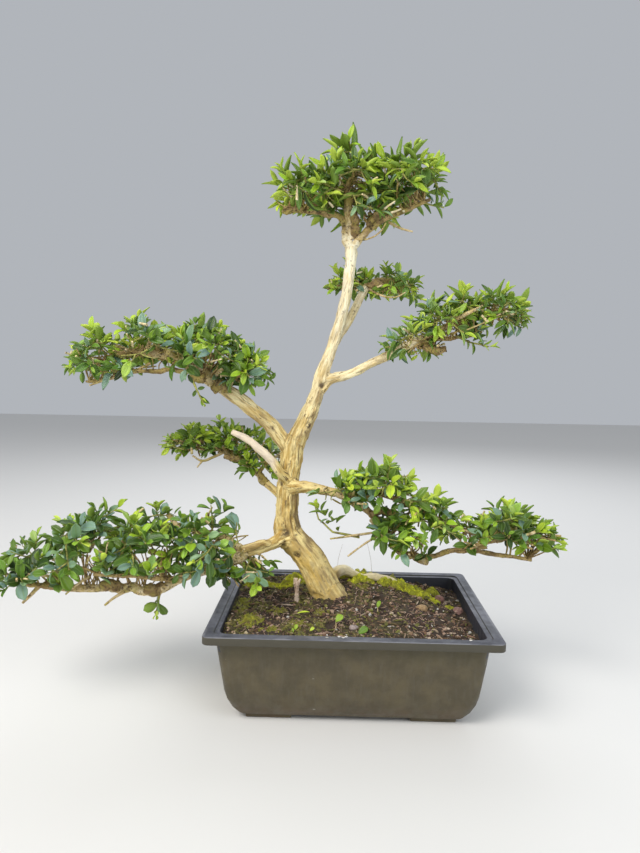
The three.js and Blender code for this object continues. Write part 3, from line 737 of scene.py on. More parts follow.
# Bare wood: limbs are lists of (x, y, z, radius)
trunkLine = [
    (2, 20, 56, 13), (-12, 23, 78, 19), (-26, 25, 99, 20), (-46, 25, 137, 17.5), (-60, 25, 155, 17),
    (-74, 25, 171, 17.5), (-77, 25, 193, 13.5), (-76, 25, 215, 13.2), (-75, 25, 237, 13.2),
    (-72, 25, 259, 12.8), (-70, 25, 279, 13.5),
]
leaderLine = [
    (-71, 25, 270, 12), (-62, 25, 292, 11.2), (-52, 25, 314, 9.7), (-44, 25, 335, 8.4), (-39, 25, 352, 8.4),
    (-31, 25, 378, 7), (-24, 25, 400, 7.1), (-14, 25, 436, 6.3), (-8, 25, 481, 6.3), (-7, 25, 503, 7),
]
sideLimbs = [
    [(-70, 25, 262, 9), (-95, 22, 298, 8.8), (-113, 18, 314, 8.4), (-132, 14, 329, 8.1),
     (-150, 10, 342, 7.5)],
    [(-74, 22, 234, 7), (-85, 6, 248, 5.6), (-92, 2, 260, 5.2), (-106, 0, 273, 4.8), (-121, -1, 285, 4.3),
     (-138, -2, 293, 3.7)],
    [(-76, 27, 204, 7), (-84, 46, 210, 5.4), (-104, 60, 224, 4.9)],
    [(-76, 25, 226, 8.5), (-64, 12, 229, 8), (-52, 8, 230, 6.4), (-37, 6, 228, 5.5), (-18, 2, 225, 4.9)],
    [(-72, 24, 172, 9), (-89, 5, 165, 7.2), (-103, -5, 161, 6.5), (-119, -14, 159, 6.2)],
    [(-92, 2, 164, 5), (-101, -8, 167, 4.6), (-124, -24, 164, 4.4)],
    [(-40, 25, 342, 7.5), (-30, 24, 352, 6.3), (-8, 20, 359, 5.5), (16, 15, 371, 5.1), (39, 10, 383, 5),
     (69, 5, 399, 4.8)],
    [(-26, 26, 392, 6), (-20, 29, 403, 5.3), (-9, 34, 419, 5), (1, 44, 441, 5), (12, 54, 462, 4.9)],
]
rootLines = [
    [(-38, 24, 118, 12), (-20, 20, 101, 11), (-4, 15, 84, 8), (10, 10, 66, 5)],
    [(-30, 34, 104, 10), (-20, 50, 113, 7), (-9, 60, 117, 6.4), (5, 66, 111, 4.8), (18, 71, 105, 4.2),
     (28, 73, 105, 5.2), (40, 72, 104, 4.6), (52, 70, 102, 4.9), (63, 66, 95, 3.6), (69, 64, 84, 3)],
    [(-34, 18, 92, 11), (-48, -4, 76, 7), (-58, -26, 62, 4)],
]
# Relief of the bark in millimetres, and its patterns: noise scale across, scale along and start
barkShape = dict(
    voxel=1.25, smooth=4, swell=1.2, ridge=0.7, flake=0.8, fine=0.3, flakeEdge=(0.02, 0.14),
    patterns=[(0.055, 0.055, 0), (0.3, 0.035, 0), (0.24, 0.07, 40), (0.9, 0.2, 0)],
    fullRadius=10, limbStep=2, limbApart=137, aside=(0.31, 0.95, 0.05), scarEdge=1.6, scarLip=0.7,
    lowDark=(0.46, 0.29, 0.072), lowPale=(0.90, 0.73, 0.33), highDark=(0.80, 0.67, 0.40),
    # The mustard is the bark's own tint, laid on left-facing sides low down with painted sunlight
    highPale=(0.97, 0.90, 0.67), warm=(0.62, 0.41, 0.10), mustardAndSunlight=(0.66, 0.43, 0.075),
    # Brown patches and cracks lie most on right-facing bark, as painted shade
    patchAndShade=(0.27, 0.17, 0.075), crackAndShade=(0.13, 0.075, 0.033), spot=(0.12, 0.07, 0.03), scar=(0.06, 0.035, 0.018),
    dead=(0.90, 0.78, 0.64), root=(0.93, 0.85, 0.62), dirt=(0.30, 0.21, 0.09),
    # The dead branch: its middle, the direction square to it, and how far out it is bleached
    deadAt=(-113, 0, 272), deadSquare=(0.634, 0, 0.773), deadBeside=(15, 10), deadBeyond=(29, 20),
)
# Dark knots and scars on the trunk: centre, reach and depth
scars = [
    ((-68, 9, 262), 5, 1.6), ((-76, 9, 176), 6, 1.8), ((-80, 9, 162), 4, 1.2), ((-74, 10, 205), 4, 0.9),
    ((-62, 12, 150), 5, 0.8), ((-84, 14, 232), 4, 1.0), ((-52, 17, 300), 4, 0.9), ((-38, 18, 346), 4, 1.0),
    ((-92, 12, 296), 4, 0.8),
]


# Where each point of the wood lies along and round its own limb, for bark that follows the limb
def barkPlaces(points, lines):
    centres, radii, alongs, frames = [], [], [], []
    for number, line in enumerate(lines):
        along = number * barkShape["limbApart"]
        spots = [place(*spot[:3]) for spot in line]
        for a, b, first, second in zip(spots, spots[1:], line, line[1:]):
            ahead = (b - a).normalized()
            side = ahead.cross(Vector(barkShape["aside"])).normalized()
            steps = max(1, int((b - a).length / (barkShape["limbStep"] * mm)))
            for step in range(steps):
                t = step / steps
                centres.append(a.lerp(b, t))
                radii.append(lerp(first[3], second[3], t) * mm)
                alongs.append(along + t * (b - a).length / mm)
                frames.append((ahead, side, ahead.cross(side)))
            along += (b - a).length / mm
    lookup = kdtree.KDTree(len(centres))
    for number, centre in enumerate(centres):
        lookup.insert(centre, number)
    lookup.balance()
    places = np.empty((len(points), 3))
    for number, point in enumerate(points):
        _, best, _ = min(lookup.find_n(point, 12), key=lambda hit: hit[2] - radii[hit[1]])
        ahead, side, other = frames[best]
        off = Vector(point) - centres[best]
        turn = math.atan2(off.dot(other), off.dot(side))
        places[number] = (turn, alongs[best] + off.dot(ahead) / mm, radii[best] / mm)
    return places


# Swelling, ridges and flakes along the grain, and the scars
def barkLift(point, ring, radius):
    shape = barkShape
    x, y, along = ring
    swell, ridge, flake, fine = (
        noise.noise(Vector((x * across, y * across, along * length + start)))
        for across, length, start in shape["patterns"])
    flake = ramp(*shape["flakeEdge"], flake) - 0.5
    coarse = swell * shape["swell"] + ridge * shape["ridge"] + flake * shape["flake"]
    lift = coarse * min(1, radius / shape["fullRadius"]) + fine * shape["fine"]
    for centre, reach, depth in scars:
        off = (point - place(*centre)).length / mm
        edge = reach * shape["scarEdge"]
        if off < edge:
            lift += depth * (ramp(reach, edge, off) - 1)
            lift += shape["scarLip"] * math.exp(-((off - reach * 1.3) / 1.2) ** 2)
    return lift


def makeTrunk():
    lines = [trunkLine, leaderLine] + sideLimbs + rootLines
    trunk = tubes("trunk", lines, 4, 8)
    mergeLimbs(trunk, barkShape["voxel"], barkShape["smooth"])
    points = getPoints(trunk)
    turns, alongs, radii = barkPlaces(points, lines).T
    rings = np.stack([np.cos(turns) * radii, np.sin(turns) * radii, alongs], 1)
    lifts = [barkLift(Vector(point), ring, radius) for point, ring, radius in zip(points, rings, radii)]
    pushOut(trunk, lifts)
    layer = trunk.data.attributes.new("barkPlace", "FLOAT_VECTOR", "POINT")
    layer.data.foreach_set("vector", (rings * mm).ravel())
    shadeSmooth(trunk, 180)
    return rename(trunk, "trunkWood")


# Cream bark in long flakes with brown under them, mustard low down on left-facing sides, partly painted
# sunlight, and paler the higher it is
def makeBark():
    material, paint = newMaterial("peelingBark", Roughness=0.8)
    tint = barkShape
    where = paint.where()
    _, depth, height = paint.axes(where)
    grain = paint.attribute("barkPlace")
    high = paint.span(height, 240 * mm, 470 * mm)
    # The foot of the trunk is smoother than the rest
    calm = paint.span(height, 150 * mm, 175 * mm)
    streak = paint.mottle(paint.stretched(grain, 1, 1, 0.13), 330, 0.34, 0.60)
    lowStreak = paint.span(streak, 0, 1, paint.span(calm, 0, 1, 0.5, 0), 1)
    low = paint.mix(lowStreak, tint["lowDark"], tint["lowPale"])
    colour = paint.mix(high, low, paint.mix(streak, tint["highDark"], tint["highPale"]))
    warm = paint.mottle(paint.stretched(grain, 1, 1, 0.35), 95, 0.46, 0.62)
    colour = paint.mix(paint.times(warm, paint.span(high, 0, 1, 0.6, 0.35)), colour, tint["warm"])
    facing = paint.facing()[0]
    # Painted sunlight: a warm mustard on left-facing sides low down, over the bark's own mustard tint
    left = paint.times(paint.span(calm, 0, 1, 0.6, 0), paint.span(facing, 0.35, -0.3))
    mustardAndSunlight = paint.times(left, paint.mottle(paint.stretched(grain, 1, 1, 0.5), 60, 0.38, 0.52))
    colour = paint.mix(mustardAndSunlight, colour, tint["mustardAndSunlight"])
    # Brown patches and cracks, strongest on right-facing sides as painted shade
    # Painted shade mask: sides that face right, less of it high up
    right = paint.times(paint.span(facing, -0.2, 0.8), paint.span(high, 0, 1, 1, 0.25))
    patchesAndShade = paint.mottle(paint.stretched(grain, 1, 1, 0.4), 70, 0.47, 0.58)
    colour = paint.mix(paint.times(patchesAndShade, paint.span(right, 0, 1, 0.25, 0.75)), colour, tint["patchAndShade"])
    cracksAndShade = paint.mottle(paint.stretched(grain, 1, 1, 0.16), 420, 0.56, 0.64)
    cracksAndShade = paint.times(cracksAndShade, paint.span(calm, 0, 1, 0.3, 1))
    colour = paint.mix(paint.times(cracksAndShade, paint.span(right, 0, 1, 0.55, 0.9)), colour, tint["crackAndShade"])
    spots = paint.mottle(paint.stretched(grain, 1, 1, 0.6), 170, 0.60, 0.69)
    colour = paint.mix(paint.times(spots, 0.75), colour, tint["spot"])
    for centre, reach, _ in scars:
        off = paint.vectors("DISTANCE", where, place(*centre), "Value")
        mark = paint.span(off, reach * 1.25 * mm, reach * 0.4 * mm, 0, 0.9)
        colour = paint.mix(paint.times(mark, paint.mottle(where, 300, 0.35, 0.5)), colour, tint["scar"])
    # The dead branch is bleached a pale pink
    off = paint.vectors("SUBTRACT", where, place(*tint["deadAt"]))
    beside = paint.maths("ABSOLUTE", paint.vectors("DOT_PRODUCT", off, tint["deadSquare"], "Value"))
    near = paint.span(beside, *(reach * mm for reach in tint["deadBeside"]))
    beyond = paint.span(paint.axes(off)[0], *(reach * mm for reach in tint["deadBeyond"]))
    colour = paint.mix(paint.times(paint.times(near, beyond), 0.72), colour, tint["dead"])
    # The root that arches out of the soil is rubbed pale
    behind = paint.span(depth, potMiddle.y + 46 * mm, potMiddle.y + 54 * mm)
    root = paint.times(behind, paint.span(height, 140 * mm, 130 * mm, 0, 0.7))
    colour = paint.mix(root, colour, tint["root"])
    # Dirt at the foot, where the trunk meets the soil
    foot = paint.times(paint.span(height, 125 * mm, 100 * mm, 0, 0.35), paint.mottle(where, 130))
    paint.feed(paint.mix(foot, colour, tint["dirt"]), "Base Color")
    paint.bump(paint.clouds(paint.stretched(grain, 1, 1, 0.16), 500, 6, 0.65), 1.4 * mm, 0.9)
    return material


finishPiece(makeTrunk(), "trunk", makeBark())


# Foliage: every pad replaces one node. A limb is a list of (x, y, z, radius), a lobe is a
# cloud of leaves (x, y, z, half width, half depth, rise, fall, shoots), a bare twig carries no leaves,
# and a clear room is a box, by two corners, that leaves stay out of
# Each pad gives the share of its old leaves that carry a painted bluish sheen
pads = {
    "spray_apex": dict(
        seed=11, paintedSheen=0.12, leaf="long", size=(15, 29), fresh=0.6, upward=0.8,
        clear=[((-26, -60, 536), (-3, 6, 572))],
        limbs=[
            [(-7, 25, 503, 6.5), (-14, 24, 518, 4.4), (-18, 22, 533, 3.8), (-42, 18, 540, 3.4),
             (-84, 14, 543, 2.4)],
            [(-7, 25, 503, 6.5), (2, 25, 513, 4.4), (10, 25, 521, 3.8), (36, 26, 538, 3.2),
             (80, 22, 556, 2)],
            [(-6, 25, 512, 5), (-12, 20, 540, 4.2), (-13, 18, 565, 3.4), (-4, 22, 590, 2)],
        ],
        lobes=[
            (-50, 18, 556, 40, 48, 34, 24, 38), (2, 26, 566, 44, 52, 49, 28, 54),
            (58, 22, 568, 40, 52, 36, 34, 42), (4, 24, 542, 46, 50, 16, 16, 18),
        ],
        knots=[
            [(-4, 23, 513, 3), (-3, 20, 521, 5), (-3, 19, 531, 5.5), (-8, 18, 542, 4.4)],
            [(10, 20, 526, 3), (22, 14, 536, 4), (30, 12, 548, 3)],
            [(-62, 12, 541, 3.4), (-76, 10, 539, 3), (-84, 8, 538, 2)],
        ],
        bare=[[(-3, 22, 512, 1.2), (10, 14, 510, 1), (24, 10, 517, 0.9), (30, 6, 526, 0.7)],
              [(34, 20, 530, 1.6), (48, 14, 522, 1.3), (60, 10, 518, 1)]],
    ),
    "spray_small_back": dict(
        seed=23, paintedSheen=0.1, leaf="oval", size=(11, 19), fresh=0.5, upward=0.7,
        limbs=[
            [(12, 54, 462, 4.9), (22, 62, 470, 3.6), (44, 74, 473, 2.8), (64, 78, 472, 1.6)],
            [(12, 54, 462, 4), (4, 68, 466, 2.8), (-18, 80, 470, 1.6)],
        ],
        lobes=[(-4, 80, 466, 28, 32, 22, 12, 28), (42, 76, 464, 36, 36, 24, 20, 36)],
        knots=[[(14, 50, 464, 3), (26, 52, 466, 4), (38, 56, 462, 3)]],
        bare=[[(16, 50, 460, 1.4), (30, 46, 452, 1.2), (46, 44, 450, 1), (58, 44, 456, 0.8)]],
    ),
    "spray_right_middle": dict(
        seed=37, paintedSheen=0.2, leaf="long", size=(13, 24), fresh=0.5, upward=0.75,
        clear=[((46, -60, 386), (78, 12, 410)), ((104, -90, 404), (128, -30, 424))],
        limbs=[
            [(69, 5, 399, 4.8), (98, 2, 413, 3.8), (128, 0, 424, 3), (158, -2, 432, 1.6)],
            [(60, 6, 394, 3), (84, 2, 398, 2.4), (110, -2, 402, 1.8), (138, -4, 405, 1.2)],
        ],
        lobes=[(66, 6, 391, 30, 34, 26, 20, 30), (104, 2, 416, 40, 42, 34, 26, 42),
               (149, -1, 425, 40, 38, 28, 28, 44)],
        knots=[[(74, 0, 392, 3), (86, -6, 387, 4.5), (98, -8, 389, 3.4)],
               [(108, -8, 412, 2.6), (122, -10, 416, 3)]],
        bare=[[(102, -10, 418, 2.6), (112, -26, 424, 2.4), (132, -28, 434, 1.6)],
              [(112, -24, 407, 0.9), (132, -32, 416, 0.8), (154, -34, 428, 0.7)]],
        sprigs=[[(108, -6, 404, 1.2), (124, -14, 396, 1), (142, -20, 392, 0.8)]],
    ),
    "spray_upper_left": dict(
        seed=41, paintedSheen=0.24, leaf="oval", size=(12, 23), fresh=0.45, upward=0.65,
        clear=[((-260, -90, 370), (-216, -8, 389)), ((-208, -90, 366), (-186, -8, 384))],
        limbs=[
            [(-150, 10, 342, 7.5), (-169, 6, 358, 6.6), (-195, 0, 375, 5.4), (-222, -4, 379, 4.4),
             (-252, -8, 380, 3.6), (-280, -10, 369, 1.8)],
            [(-169, 6, 358, 3.6), (-206, -6, 362, 2.6), (-242, -12, 359, 2.4), (-274, -16, 350, 2.2),
             (-296, -18, 347, 1.4)],
            [(-150, 10, 342, 5), (-132, 8, 358, 3), (-124, 4, 370, 1.6)],
        ],
        lobes=[
            (-278, -10, 368, 42, 42, 34, 24, 42), (-224, -5, 380, 46, 54, 36, 20, 46),
            (-166, 0, 376, 46, 54, 36, 32, 46), (-126, 5, 358, 28, 42, 30, 30, 32),
        ],
        knots=[
            [(-184, -2, 352, 4), (-175, -12, 356, 6), (-166, -14, 352, 5)],
            [(-158, 0, 340, 5), (-148, -4, 346, 6), (-140, -2, 340, 4)],
        ],
        bare=[
            [(-228, -6, 368, 1.8), (-242, -12, 360, 1.5), (-273, -20, 349, 1.2), (-289, -26, 343, 1)],
            [(-196, -6, 374, 3.4), (-200, -22, 378, 3.1), (-202, -30, 380, 3)],
            [(-160, 4, 352, 3), (-150, -14, 360, 2.6), (-146, -22, 362, 2.4)],
            [(-232, -8, 382, 3), (-226, -18, 388, 2.6), (-222, -26, 393, 2.4)],
            [(-248, -8, 380, 2.4), (-254, -20, 384, 2), (-258, -30, 386, 1.8)],
        ],
        sprigs=[[(-178, -20, 350, 1.2), (-172, -26, 340, 1), (-164, -30, 326, 0.8)]],
    ),
    "spray_back_left": dict(
        seed=59, paintedSheen=0.15, leaf="oval", size=(12, 20), fresh=0.65, upward=0.65,
        limbs=[
            [(-104, 60, 224, 4.9), (-118, 69, 236, 4.3), (-142, 82, 253, 3.8), (-175, 92, 262, 3),
             (-208, 96, 262, 1.6)],
            [(-104, 60, 224, 4), (-112, 58, 238, 2.6), (-100, 62, 258, 1.6)],
        ],
        lobes=[
            (-206, 92, 262, 32, 40, 26, 24, 36), (-160, 90, 268, 36, 38, 28, 16, 34),
            (-114, 76, 250, 26, 32, 36, 30, 34),
        ],
        knots=[[(-128, 60, 248, 3), (-142, 58, 254, 4), (-156, 60, 256, 3)]],
        bare=[
            [(-155, 72, 262, 1.9), (-172, 66, 254, 1.7), (-184, 62, 250, 1.5), (-196, 62, 256, 1.1)],
            [(-184, 62, 250, 1.3), (-190, 60, 242, 1)],
        ],
    ),
    "spray_right_lower": dict(
        seed=68, paintedSheen=0.22, leaf="oval", size=(12, 22), fresh=0.5, upward=0.65,
        clear=[((-40, -60, 208), (-20, 40, 245)), ((-40, -60, 186), (14, 40, 206))],
        limbs=[
            [(-18, 2, 225, 4.9), (-1, -2, 217, 4.4), (17, -6, 207, 3.8), (37, -10, 186, 3.3),
             (56, -12, 164, 3.2),
             (76, -15, 157, 3.6), (89, -16, 159, 3), (110, -18, 167, 2.7), (140, -20, 167, 2.4),
             (169, -21, 163, 2.2), (197, -23, 160, 1.9)],
            [(-1, -2, 217, 3.6), (28, -6, 228, 3), (58, -6, 216, 2.6), (94, -4, 200, 2.4),
             (124, -4, 188, 2.2), (156, -8, 180, 1.6)],
            [(110, -18, 167, 2.4), (128, -30, 176, 2), (158, -36, 184, 1.6), (190, -34, 188, 1.2)],
        ],
        lobes=[
            (-2, -4, 224, 34, 40, 20, 12, 30), (48, -20, 186, 24, 22, 14, 16, 16),
            (64, -24, 170, 20, 20, 12, 8, 12),
            (34, -8, 230, 42, 50, 31, 20, 44), (80, -8, 202, 32, 40, 30, 24, 30),
            (130, -16, 184, 32, 34, 24, 12, 24), (172, -18, 188, 36, 40, 32, 20, 36),
            (201, -20, 182, 30, 32, 20, 14, 26),
        ],
        knots=[[(20, -10, 204, 3), (34, -14, 210, 4.4), (46, -14, 206, 3.4)],
               [(132, -22, 172, 2.6), (146, -24, 176, 3)]],
        bare=[
            [(38, -12, 186, 1.6), (8, -16, 182, 1.4), (-25, -18, 177, 1)],
            [(29, -14, 181, 1.3), (11, -20, 171, 1.1), (-5, -26, 160, 0.9)],
            [(21, -10, 198, 3), (30, -22, 188, 2.6), (36, -30, 182, 2.4)],
            [(73, -20, 218, 1.6), (91, -22, 205, 1.5), (118, -26, 193, 1.4), (147, -28, 185, 1.1)],
            [(70, -15, 158, 4.6), (78, -20, 155, 4.2), (83, -24, 154, 3)],
            [(41, -14, 176, 1.8), (50, -18, 164, 1.9), (61, -21, 158, 1.7), (74, -22, 163, 1.3)],
            [(72, -12, 216, 1), (74, -14, 204, 0.9), (73, -15, 192, 0.7)],
        ],
        sprigs=[[(8, -13, 178, 1.3), (-22, -15, 184, 1.2), (-38, -14, 198, 1), (-42, -13, 212, 0.8)]],
    ),
    "spray_lower_left": dict(
        seed=83, paintedSheen=0.38, leaf="round", size=(12, 22), fresh=0.36, upward=0.65,
        clear=[((-130, -70, 151), (-70, 30, 240)), ((-312, -130, 80), (-222, 20, 122))],
        limbs=[
            [(-119, -14, 159, 6.2), (-146, -26, 148, 5.4), (-189, -40, 134, 5.2), (-213, -46, 124, 5.4),
             (-235, -50, 128, 5.2), (-262, -54, 129, 4.8), (-295, -58, 128, 4), (-332, -60, 131, 3),
             (-368, -60, 135, 1.8)],
            [(-119, -14, 159, 5), (-150, -10, 176, 3.8), (-200, 0, 184, 3.2), (-250, 0, 182, 2.6),
             (-290, -6, 178, 1.6)],
            [(-189, -40, 134, 3), (-206, -62, 142, 2.6), (-236, -74, 148, 2.2), (-268, -78, 150, 1.4)],
        ],
        lobes=[
            (-346, -56, 142, 40, 40, 36, 22, 20), (-286, -46, 158, 46, 54, 54, 26, 42),
            (-222, -40, 160, 48, 60, 48, 28, 46),
            (-162, -28, 162, 44, 58, 50, 36, 46), (-122, -18, 142, 30, 40, 14, 24, 24),
        ],
        knots=[
            [(-204, -44, 128, 5), (-213, -48, 124, 7), (-222, -50, 126, 5)],
            [(-248, -54, 130, 5), (-256, -58, 133, 6), (-266, -58, 130, 4.6)],
            [(-176, -40, 140, 4), (-168, -46, 148, 5), (-158, -44, 150, 3.6)],
            [(-250, -40, 172, 3), (-236, -44, 178, 4.4), (-224, -44, 176, 3)],
        ],
        bare=[
            [(-279, -60, 142, 1.4), (-292, -64, 133, 1.2), (-302, -66, 124, 1)],
            [(-208, -12, 200, 3), (-195, -16, 185, 3), (-186, -22, 168, 2.6)],
            [(-332, -60, 131, 2.4), (-342, -62, 120, 1.8), (-350, -62, 112, 1.4)],
            [(-235, -50, 128, 2.2), (-250, -66, 122, 1.6), (-258, -74, 116, 1.2)],
            [(-300, -60, 136, 2), (-318, -74, 146, 1.6), (-334, -82, 150, 1.2)],
        ],
        sprigs=[[(-206, -45, 128, 1.5), (-209, -47, 114, 1.3), (-210, -48, 104, 1.2),
                 (-211, -48, 98, 2.6)]],
    ),
}
leafShapes = dict(
    round=dict(wide=0.56, widest=0.60, tip=0.55, fold=0.14, curl=0.10),
    oval=dict(wide=0.45, widest=0.54, tip=0.75, fold=0.18, curl=0.16),
    long=dict(wide=0.34, widest=0.48, tip=0.9, fold=0.20, curl=0.16),
)
leafBlade = dict(
    cells=(4, 5), thick=0.45, usualLength=17, weld=0.004, waves=(0, 0.06, 0.12),
    colours=dict(
        # The bluish colour among these is a painted sky reflection on old leaves
        oldDark=(0.012, 0.038, 0.004), oldLight=(0.150, 0.340, 0.022), paintedSheen=(0.20, 0.33, 0.30),
        youngDark=(0.30, 0.52, 0.022), youngLight=(0.66, 0.78, 0.060), midrib=(0.20, 0.30, 0.08),
        edge=(0.20, 0.28, 0.06), blotch=(0.14, 0.22, 0.012),
        underOld=(0.14, 0.25, 0.035), underYoung=(0.56, 0.70, 0.080),
    ),
)
# How shoots fill a lobe: every fifth one stands out of it, and shares are of the lobe's half sizes
shootRules = dict(
    turn=2.39996, top=0.98, depth=1.5, reach=(0.60, 0.98), farEvery=5, farReach=(0.98, 1.18),
    gap=-0.24, gapScale=0.05, footScatter=9, longest=60, shorten=0.7, bend=2.5, sag=0.10,
    thick=0.75, thicker=0.012, thickest=1.5, tipThick=0.5, steps=5,
)
# How leaf pairs stand along a shoot, counted back from its tip
pairRules = dict(
    along=0.75, longest=38, between=(4.5, 7), tipSize=0.62, fullFrom=2.2, missing=0.06, missingMore=0.03,
    youngSpread=26, oldSpread=40, spreadMore=10, spreadScatter=10, stalk=1.2, widths=(0.78, 1.15),
    faceScatter=(0.42, 0.42, 0.3), youngAge=(0.55, 1), oldAge=(0, 0.3),
)
twigShape = dict(
    knobSpan=18, knobShift=0.25, knobSizes=(0.82, 1.3), lumpScale=280, limbRelief=0.8, knotRelief=2.2,
    twigRelief=0.3, paleFrom=(2.8, 5.4), tangleSpan=45, tangleThick=(0.5, 1.1), stubs=7,
    stubLength=(7, 15), stubThick=(0.9, 1.5),
    cream=((0.58, 0.43, 0.18), (0.86, 0.73, 0.46)), high=((0.66, 0.50, 0.24), (0.96, 0.88, 0.65)),
    colours=dict(
        twigGreen=dict(pale=(0.40, 0.40, 0.10), mid=(0.26, 0.25, 0.07), dark=(0.10, 0.07, 0.03),
                       mossy=(0.30, 0.30, 0.06)),
        twigBark=dict(pale=(0.50, 0.36, 0.15), mid=(0.28, 0.18, 0.07), dark=(0.07, 0.043, 0.02),
                      mossy=(0.40, 0.33, 0.07)),
    ),
)


# A blade one unit long: its stalk at the origin, its tip along +Y, its upper side along +Z
def makeLeaf(name, wide, widest, tip, fold, curl, wave):
    columns, rows = leafBlade["cells"]
    leaf = primitive("grid", x_subdivisions=columns, y_subdivisions=rows, size=2)
    points = getPoints(leaf)
    blade = []
    for point in points:
        across, along = point[0], (point[1] + 1) / 2
        rise = min(1, along / widest)
        fall = max(0, (along - widest) / (1 - widest))
        half = wide / 2 * math.sin(rise * math.pi / 2) ** 0.8 * (1 - fall ** (2.6 - tip)) ** (0.5 + tip * 0.3)
        half = max(half, 0.02 if along < 0.5 else 0)
        blade.append((across * 0.5 + 0.5, along, 0))
        droop = -curl * along * along + wave * math.sin(along * 7) * abs(across) * 0.5
        point[:] = (across * half, along, abs(across) ** 1.3 * half * fold * 4 + droop)
    setPoints(leaf, points)
    leaf.data.attributes.new("blade", "FLOAT_VECTOR", "POINT").data.foreach_set("vector", np.ravel(blade))
    applyModifier(leaf, "WELD", merge_threshold=leafBlade["weld"])
    for material in (leafTop, leafUnder):
        leaf.data.materials.append(material)
    thick = leafBlade["thick"] / leafBlade["usualLength"]
    applyModifier(leaf, "SOLIDIFY", thickness=thick, offset=-1, material_offset=1)
    for face in leaf.data.polygons:
        face.use_smooth = True
    return rename(leaf, name)


def bezier(a, b, c, t):
    return a.lerp(b, t).lerp(b.lerp(c, t), t)


def bezierLine(a, b, c, steps):
    return [bezier(a, b, c, step / steps) for step in range(steps + 1)]


def turnTo(direction, face):
    ahead = direction.normalized()
    side = ahead.cross(face).normalized()
    return Matrix((side, ahead, side.cross(ahead))).transposed().to_4x4()


# A random step as wide as each number says, where a 0 draws nothing
def scatter(rng, *widths):
    return Vector([rng.gauss(0, width) if width else 0 for width in widths])


# Spots along the limbs, with the radius at each, for what grows from the nearest one
class Wood:
    def __init__(self, limbs):
        self.spots = []
        for limb in limbs:
            for first, second in zip(limb, limb[1:]):
                for step in range(6):
                    spot = [lerp(a, b, step / 6) for a, b in zip(first, second)]
                    self.spots.append((Vector(spot[:3]), spot[3]))

    def nearest(self, tip, centre):
        spots = (spot for spot, _ in self.spots)
        return min(spots, key=lambda spot: (spot - tip).length + 0.35 * (spot - centre).length)


# Shoots grow from the nearest wood to points spread through a lobe
def growShoots(rng, pad):
    rules = shootRules
    wood = Wood(pad["limbs"])
    shoots = []
    for x, y, z, halfX, halfY, rise, fall, count in pad["lobes"]:
        centre = Vector((x, y, z))
        low = Vector((x, y, z - fall * 0.4))
        for number in range(count):
            height = rules["top"] - rules["depth"] * ((number + 0.5) / count)
            turn = number * rules["turn"] + pad["seed"]
            ring = math.sqrt(max(0, 1 - height * height))
            reach = rng.uniform(*rules["reach" if number % rules["farEvery"] else "farReach"])
            lift = height * (rise if height > 0 else fall)
            out = Vector((math.cos(turn) * ring * halfX, math.sin(turn) * ring * halfY, lift))
            tip = centre + out * reach
            # Gaps that no shoot grows into
            if noise.noise(tip * rules["gapScale"] + Vector((pad["seed"], 0, 0))) < rules["gap"]:
                continue
            foot = wood.nearest(tip + scatter(rng, rules["footScatter"], rules["footScatter"], 0), low)
            length = (tip - foot).length
            if length > rules["longest"]:
                foot = tip + (foot - tip) * rules["shorten"]
            middle = foot.lerp(tip, 0.5) + scatter(rng, rules["bend"], rules["bend"], 0)
            middle.z -= rules["sag"] * length
            radius = min(rules["thickest"], rules["thick"] + length * rules["thicker"])
            line = bezierLine(foot, middle, tip, rules["steps"])
            radii = [lerp(radius, rules["tipThick"], t / rules["steps"]) for t in range(rules["steps"] + 1)]
            shoots.append((line, radii, centre))
            wood.spots += [(line[2], 1), (line[3], 1)]
    return shoots


def inside(point, low, high):
    return all(low[i] <= point[i] <= high[i] for i in range(3))


